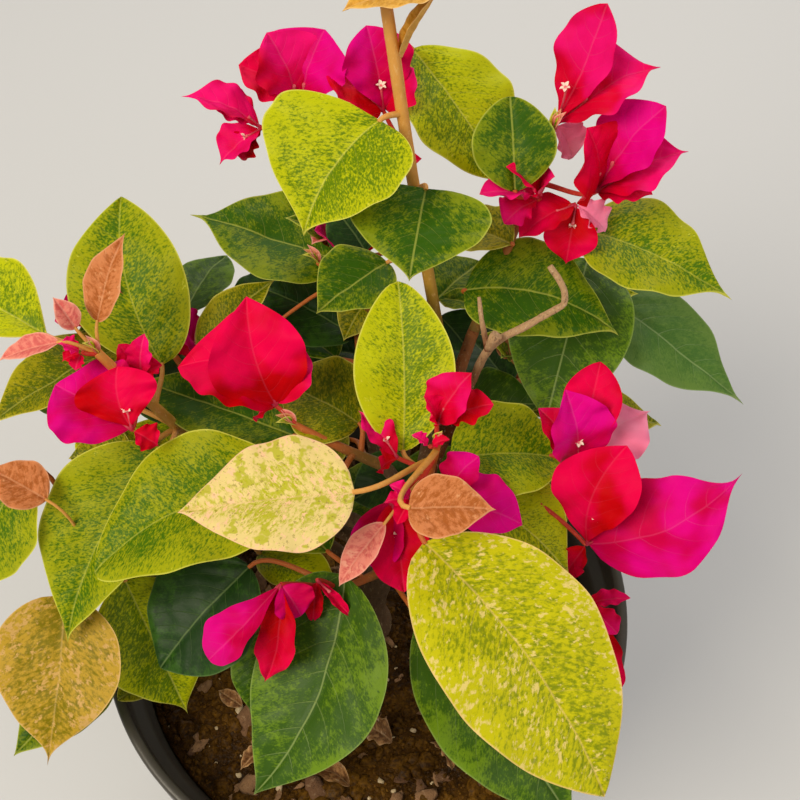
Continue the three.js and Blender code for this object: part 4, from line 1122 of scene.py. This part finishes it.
pot_finish = finish("plastic_dark", "dust", {"Clean": "#43403a", "Dust": "#837a6b"}, 0.25, 0.0004)
soil_finish = finish("soil_moist", "dust", {"Clean": "#221202", "Dust": "#704a10", "Amount": 0.9,
                     "Fine": 500.0}, 1.0, 0.002, Specular_IOR_Level=0.1)
crumb_finish = finish("soil_crumbs", "dust", {"Clean": "#2c1804", "Dust": "#9a6c20",
                      "Amount": 0.85, "Fine": 800.0}, 0.8, 0.001, Specular_IOR_Level=0.1)
chip_finish = finish("bark_chips", "bark", {"Old": "#6b4a30", "Young": "#9a7450",
                     "Fleck": "#c8a884", "Grain": 0.0015}, 0.8, 0.001, 0.9)
grit_finish = finish("pale_grit", "dust", {"Clean": "#cbb58e", "Dust": "#8a6f4a",
                     "Amount": 0.5, "Fine": 1500.0}, 0.5, 0.001)


# ---------- Base meshes for the trees ----------
def add_values(mesh, name, values, kind="FLOAT"):
    data = mesh.attributes.new(name, kind, "POINT").data
    if kind == "FLOAT":
        data.foreach_set("value", values)
    else:
        data.foreach_set("vector", [part for vector in values for part in vector])


def blade_base(name, rows):
    mesh = bpy.data.meshes.new(name)
    mesh.from_pydata([row["root"] * MM for row in rows], [], [])
    add_values(mesh, "root", [row["root"] * MM for row in rows], "FLOAT_VECTOR")
    for label in ("along", "side", "facing"):
        add_values(mesh, label, [row[label] for row in rows], "FLOAT_VECTOR")
    for label in ("length", "width"):
        add_values(mesh, label, [row[label] * MM for row in rows])
    for label in ("fold", "bow", "sway", "belly", "taper", "drip", "ruffle"):
        add_values(mesh, label, [row[label] for row in rows])
    add_values(mesh, "seed", [(row["root"].x * 0.173 + row["root"].y * 0.319) % 1 for row in rows])
    return mesh


def limb_base(name, limbs):
    """Lines with a girth and an age at each place: a limb is (course, girth, age, steps)."""
    places, edges, girths, ages = [], [], [], []
    for course, girth, age, steps in limbs:
        first = len(places)
        for i in range(steps + 1):
            share = i / steps
            places.append(course.at(share) * MM)
            girths.append(girth(share) * MM)
            ages.append(age(share))
        edges += [(first + i, first + i + 1) for i in range(steps)]
    mesh = bpy.data.meshes.new(name)
    mesh.from_pydata(places, edges, [])
    add_values(mesh, "girth", girths)
    add_values(mesh, "age", ages)
    return mesh


def taper(ends):
    return lambda share: ends[0] + (ends[1] - ends[0]) * share


def lathe(name, profile, segments):
    """A closed shape turned round the Z axis; the profile starts and ends on the axis."""
    shape = bmesh.new()
    loops = []
    for radius, height in profile:
        count = segments if radius > 0 else 1
        turns = [2 * math.pi * i / count for i in range(count)]
        loops.append([shape.verts.new((radius * math.cos(a) * MM, radius * math.sin(a) * MM,
                                       height * MM)) for a in turns])
    for low, high in zip(loops, loops[1:]):
        for i in range(segments):
            j = (i + 1) % segments
            ring = [low[i % len(low)], low[j % len(low)], high[j % len(high)], high[i % len(high)]]
            shape.faces.new(list(dict.fromkeys(ring)))
    bmesh.ops.recalc_face_normals(shape, faces=shape.faces)
    mesh = bpy.data.meshes.new(name)
    shape.to_mesh(mesh)
    shape.free()
    mesh.shade_smooth()
    return mesh


def rounded(corners, steps=5):
    """A profile whose corners (radius, height, rounding) are arcs."""
    points = []
    for i, (radius, height, rounding) in enumerate(corners):
        here = Vector((radius, height))
        if not rounding:
            points.append(here)
            continue
        before = (Vector(corners[i - 1][:2]) - here).normalized()
        after = (Vector(corners[i + 1][:2]) - here).normalized()
        for step in range(steps + 1):
            share = step / steps
            bend = before * (1 - share) ** 2 + after * share**2
            points.append(here + bend * rounding)
    return points


def wall_radius(height):
    return POT_FOOT + (POT_NECK - POT_FOOT) * height / (POT_HEIGHT - LIP_TALL)


# ---------- Pot and soil ----------
BAND = {"at": 9, "slope": 1, "thick": 0.5}  # the wall's thicker stretch between foot and lip
SOIL_GAP = {"side": 0.2, "foot": 0.6, "floor": 0.3, "edge": 4}
POT_SEGMENTS = 160
SOIL_SEGMENTS = 180
SOIL_RINGS = 60


def make_pot():
    under = POT_HEIGHT - LIP_TALL
    inner = POT_RIM - LIP_THICK
    low, slope, thick = BAND.values()
    high = under - low
    corners = [
        (0, 0, 0),
        (POT_FOOT, 0, 1.2),
        (wall_radius(low), low, 0.5),
        (wall_radius(low + slope) + thick, low + slope, 0.5),
        (wall_radius(high - slope) + thick, high - slope, 0.5),
        (wall_radius(high), high, 0.5),
        (POT_NECK, under, 0.5),
        (POT_RIM - 0.4, under + 0.7, 0.6),
        (POT_RIM, POT_HEIGHT, 1.6),
        (inner, POT_HEIGHT, 1.6),
        (inner, under + 2, 1),
        (POT_NECK - POT_WALL, under - 2, 1.5),
        (wall_radius(POT_WALL) - POT_WALL, POT_WALL, 1),
        (0, POT_WALL, 0),
    ]
    mesh = lathe("pot_body", rounded(corners), POT_SEGMENTS)
    mesh.materials.append(pot_finish)
    keep("pot_body", mesh, ["pot"])


def make_soil(ground, crumbs):
    edge = SOIL_TOP - SOIL_CROWN
    rim = wall_radius(edge) - POT_WALL - SOIL_GAP["side"]
    floor = POT_WALL + SOIL_GAP["floor"]
    foot = wall_radius(floor) - POT_WALL - SOIL_GAP["foot"]
    profile = [(0, floor), (foot, floor), (rim, edge - SOIL_GAP["edge"])]
    for i in range(SOIL_RINGS + 1):
        radius = rim * (1 - i / SOIL_RINGS)
        rise = min(1, (rim - radius) / (rim - SOIL_FLAT))
        profile.append((radius, edge + SOIL_CROWN * math.sin(rise * math.pi / 2)))
    base = lathe("soil_base", profile, SOIL_SEGMENTS)
    bed = grow("soil_bed", base, [(ground, {"Rim": rim * MM, "Material": soil_finish})],
               ["soil"])
    strewn = {
        "soil_crumbs": {"Density": 60000.0, "Least": 0.0009, "Most": 0.0036, "Seed": 3,
                        "Material": crumb_finish},
        "soil_fines": {"Density": 330000.0, "Least": 0.0003, "Most": 0.0011, "Detail": 1,
                       "Seed": 4, "Material": crumb_finish},
        "bark_chips": {"Density": 9000.0, "Least": 0.0012, "Most": 0.0042, "Flat": 0.28,
                       "Long": 2.4, "Seed": 5, "Material": chip_finish},
        "pale_grit": {"Density": 9000.0, "Least": 0.0004, "Most": 0.0016, "Seed": 6,
                      "Material": grit_finish},
    }
    for name, inputs in strewn.items():
        inputs = {**inputs, "Reach": rim * MM}
        grow(name, bed.data.copy(), [(crumbs, inputs)])


def make_litter(blades):
    """Dry leaves that fell on the soil."""
    rows = []
    for root, tip, *form in LITTER:
        rows.append(blade(sight(*root), sight(*tip), *form, ruffle=0.14))
    inputs = {"Rows": 41, "Columns": 21, "Thickness": 0.0004, "Warp": 0.2, "Pucker": 0.0009,
              "Material": litter_finish}
    grow("soil_litter", blade_base("litter_places", rows), [(blades, inputs)])


# ---------- Wood ----------
# Ages of limbs from their start to their end: 0 is fresh, 1 is old bark.
AGES = {"trunk": (1, 0.9), "bough": (0.9, 0.5), "stem": (0.75, 0.1), "petiole": (0.4, 0.1),
        "sprig": (0.3, 0), "stalk": (0.2, 0), "tube": (0, 0.8), "dead": (-0.8, 1.6),
        "dead_spur": (0.2, 1), "dead_knob": (0.4, 2)}
# How many pieces a limb's line is made of.
STEPS = {"trunk": 60, "bough": 36, "stem": 36, "petiole": 14, "sprig": 8, "stalk": 16, "tube": 24,
         "dead": 90, "dead_spur": 30, "dead_knob": 12}
SPUR_RADIUS = (0.9, 0.5)
KNOB_RADIUS = (1.2, 1.5)
STALK_INTO_BLADE = 0.6  # how far a leaf's stalk runs on under its blade
BARK_SKIN = 0.00055  # the voxel that melts trunk and boughs into one skin, in metres


def limb(kind, course, girth):
    """One row for limb_base, with its kind's ages and steps. A pair of radii is a taper."""
    if isinstance(girth, tuple):
        girth = taper(girth)
    return course, girth, taper(AGES[kind]), STEPS[kind]


def make_wood(limbs, relief):
    rows = [limb("trunk", trunk_course, trunk_radius)]
    for at, start, end in (shoot[1:] for shoot in SHOOTS.values() if shoot[1] < 1):
        rows.append(limb("bough", bough_course(at, start, end), BOUGH_RADIUS))
    nodes = ["trunk"] + ["bough_" + name for name in SHOOTS]
    layers = [(limbs, {"Sides": 24, "Knots": 0.1, "Material": wood_finish}), BARK_SKIN,
              (relief, {"Material": wood_finish})]
    grow("wood", limb_base("wood_lines", rows), layers, nodes)


def make_stems(limbs):
    """Leafy stems, leaf stalks and fine twigs: pale on the young shoots, brown on the others."""
    rows = {name: [] for name in stem_finish}
    for name, stem in stems.items():
        tone = "young" if name in YOUNG_SHOOTS else "ripe"
        ends = YOUNG_SHOOTS.get(name, STEM_RADIUS)
        rows[tone].append(limb("stem", stem, ends))
    for shoot, row in leaves:
        root = row["root"] + row["along"] * STALK_INTO_BLADE
        course = stalk_course(stems[shoot], root, row["along"])
        ends = PETIOLE_RADIUS if row["width"] > SLIGHT_LEAF else SPRIG_RADIUS
        tone = "young" if row["tint"] in YOUNG_TINTS or shoot in YOUNG_SHOOTS else "ripe"
        rows[tone].append(limb("petiole", course, ends))
    for course, _ in sprigs:
        rows["young"].append(limb("sprig", course, SPRIG_RADIUS))
    for tone, limb_rows in rows.items():
        layers = [(limbs, {"Sides": 10, "Knots": 0.1, "Knot Size": 0.004,
                           "Material": stem_finish[tone]})]
        grow("stems_" + tone, limb_base("stem_lines", limb_rows), layers)


def make_dead_twig(limbs):
    places = [trunk_course.at(DEAD_TWIG_AT), *(sight(*place) for place in DEAD_TWIG)]
    twig = through(places)
    spur = through([sight(*place) for place in DEAD_SPUR])
    knob = through([sight(*place) for place in DEAD_KNOB])
    rows = [limb("dead", twig, TWIG_RADIUS), limb("dead_spur", spur, SPUR_RADIUS),
            limb("dead_knob", knob, KNOB_RADIUS)]
    layers = [(limbs, {"Sides": 16, "Knots": 0.3, "Knot Size": 0.0035, "Material": dead_finish})]
    grow("dead_wood", limb_base("dead_lines", rows), layers, ["dead_twig"])


# ---------- Blossom ----------
BRACT = {"foot": 0.7, "broad": 12, "ruffle": 0.05, "small_ruffle": 0.12}
TUBE = {"share": 0.34, "lift": 0.1, "radius": 0.5, "knee": 0.3, "knee_lift": 1.2,
        "least_bract": 14}
STAR = {"lobes": 5, "length": 1.4, "width": 1.1, "fold": 16, "depth": 0.8, "every": 3}


def tube_girth(share):
    """A flower tube: a swollen foot, a narrow waist and a bud at its end."""
    foot = math.exp(-((share - 0.12) / 0.14) ** 2)
    bud = math.exp(-((share - 0.93) / 0.09) ** 2)
    return TUBE["radius"] * (0.62 + 0.5 * foot + 0.45 * bud)


def star_lobes(end, out, side):
    """The open flower at a tube's end."""
    flat = out.cross(side).normalized()
    lobes = []
    for lobe in range(STAR["lobes"]):
        way = flat.copy()
        way.rotate(Quaternion(out, 2 * math.pi * lobe / STAR["lobes"]))
        tip = end + way * STAR["length"] + out * STAR["depth"]
        lobes.append(blade(end, tip, STAR["width"], fold=STAR["fold"], outline="star"))
    return lobes


def make_blossom(blades, limbs):
    stalks, tubes, stars = [], [], []
    rows = {tint: [] for tint in BRACT_TINTS}
    owners = {tint: set() for tint in BRACT_TINTS}
    for i, (name, shoot, root, bracts) in enumerate(heads):
        stem = stems[shoot]
        heading = (root - stem.at(0.5)).normalized()
        stalks.append(limb("stalk", stalk_course(stem, root, heading), STALK_RADIUS))
        for j, row in enumerate(bracts):
            along, facing, length = row["along"], row["facing"], row["length"]
            row["root"] = root + along * BRACT["foot"]
            row["ruffle"] = BRACT["ruffle" if row["width"] > BRACT["broad"] else "small_ruffle"]
            rows[row["tint"]].append(row)
            owners[row["tint"]].add("bloom_" + name)
            if length < TUBE["least_bract"]:
                continue
            end = root + along * length * TUBE["share"]
            end += facing * length * TUBE["lift"]
            knee = root + along * length * TUBE["knee"] + facing * TUBE["knee_lift"]
            tubes.append(limb("tube", bezier(root, knee, end), tube_girth))
            if (i + j) % STAR["every"] == 0:
                stars += star_lobes(end, (end - knee).normalized(), row["side"])
    layers = [(limbs, {"Sides": 10, "Knots": 0.08, "Knot Size": 0.004, "Material": stalk_finish})]
    grow("blossom_stalks", limb_base("stalk_lines", stalks), layers)
    layers = [(limbs, {"Sides": 12, "Knots": 0.06, "Knot Size": 0.003, "Material": flower_finish})]
    grow("flower_tubes", limb_base("tube_lines", tubes), layers)
    for tint, group in rows.items():
        inputs = {"Rows": 37, "Columns": 21, "Thickness": 0.0003, "Cup": 1.35, "Groove": 0.00025,
                  "Pucker": 0.0005, "Veins": 7.0, "Warp": 0.09, "Material": bract_finish[tint]}
        grow("bracts_" + tint, blade_base("bract_places", group), [(blades, inputs)],
             sorted(owners[tint]))
    inputs = {"Rows": 9, "Columns": 7, "Thickness": 0.0002, "Material": star_finish}
    grow("flower_stars", blade_base("star_places", stars), [(blades, inputs)])


# ---------- Leaves ----------
def make_leaves(blades):
    for tint in LEAF_TINTS:
        group = [(shoot, row) for shoot, row in leaves if row["tint"] == tint]
        small = [row for _, rows in sprigs for row in rows if row["tint"] == tint]
        small += [row for row in bud_leaves if row["tint"] == tint]
        inputs = {"Rows": 51, "Columns": 21, "Thickness": 0.00045, "Warp": 0.05, "Veins": 8.0,
                  "Material": leaf_finish[tint]}
        if small:
            sizes = {**inputs, "Rows": 17, "Columns": 9}
            grow("sprig_leaves_" + tint, blade_base("sprig_places", small), [(blades, sizes)])
        nodes = sorted({"leaves_" + shoot for shoot, _ in group})
        base = blade_base("leaf_places", [row for _, row in group])
        grow("leaf_blades_" + tint, base, [(blades, inputs)], nodes)


limbs, blades = limb_tree(), blade_tree()
make_pot()
make_soil(ground_tree(), crumb_tree())
make_litter(blades)
make_wood(limbs, relief_tree())
make_stems(limbs)
make_dead_twig(limbs)
make_blossom(blades, limbs)
make_leaves(blades)


# ---------- Floor, light and camera ----------
def make_floor():
    side = 6
    mesh = bpy.data.meshes.new("floor")
    corners = [(-side, -side, 0), (side, -side, 0), (side, side, 0), (-side, side, 0)]
    mesh.from_pydata(corners, [], [(0, 1, 2, 3)])
    material = bpy.data.materials.new("floor_pale")
    material.use_nodes = True
    shader = material.node_tree.nodes["Principled BSDF"]
    shader.inputs["Base Color"].default_value = colour("#d5d7db")
    shader.inputs["Roughness"].default_value = 0.9
    mesh.materials.append(material)
    floor = bpy.data.objects.new("floor", mesh)
    bpy.context.scene.collection.objects.link(floor)


def add_light(name, place, size, power, tone):
    light = bpy.data.lights.new(name, "AREA")
    light.size, light.energy, light.color = size, power, colour(tone)[:3]
    holder = bpy.data.objects.new(name, light)
    holder.location = place
    aim = Vector((0, 0, 0.2)) - holder.location
    holder.rotation_euler = aim.to_track_quat("-Z", "Y").to_euler()
    bpy.context.scene.collection.objects.link(holder)


def make_light():
    scene = bpy.context.scene
    scene.view_settings.view_transform = "Standard"
    scene.world = bpy.data.worlds.new("pale_room")
    scene.world.use_nodes = True
    background = scene.world.node_tree.nodes["Background"]
    background.inputs["Color"].default_value = colour("#f4f1ea")
    background.inputs["Strength"].default_value = 0.36
    add_light("window", (-0.7, -0.5, 1.2), 0.7, 14, "#fff3dc")
    add_light("room", (0.9, -0.4, 0.9), 1.0, 4, "#fff6ea")
    add_light("back", (0.2, 1.0, 0.9), 0.8, 5, "#fff8ee")


def make_camera():
    camera = bpy.data.cameras.new("eye")
    camera.sensor_width = 36
    camera.lens = PLANE_AWAY / PLANE_SIDE * camera.sensor_width
    camera.clip_start = 0.01
    holder = bpy.data.objects.new("eye", camera)
    holder.location = EYE * MM
    holder.rotation_euler = (math.pi / 2 - PITCH, 0, 0)
    bpy.context.scene.collection.objects.link(holder)
    bpy.context.scene.camera = holder


make_floor()
make_light()
make_camera()
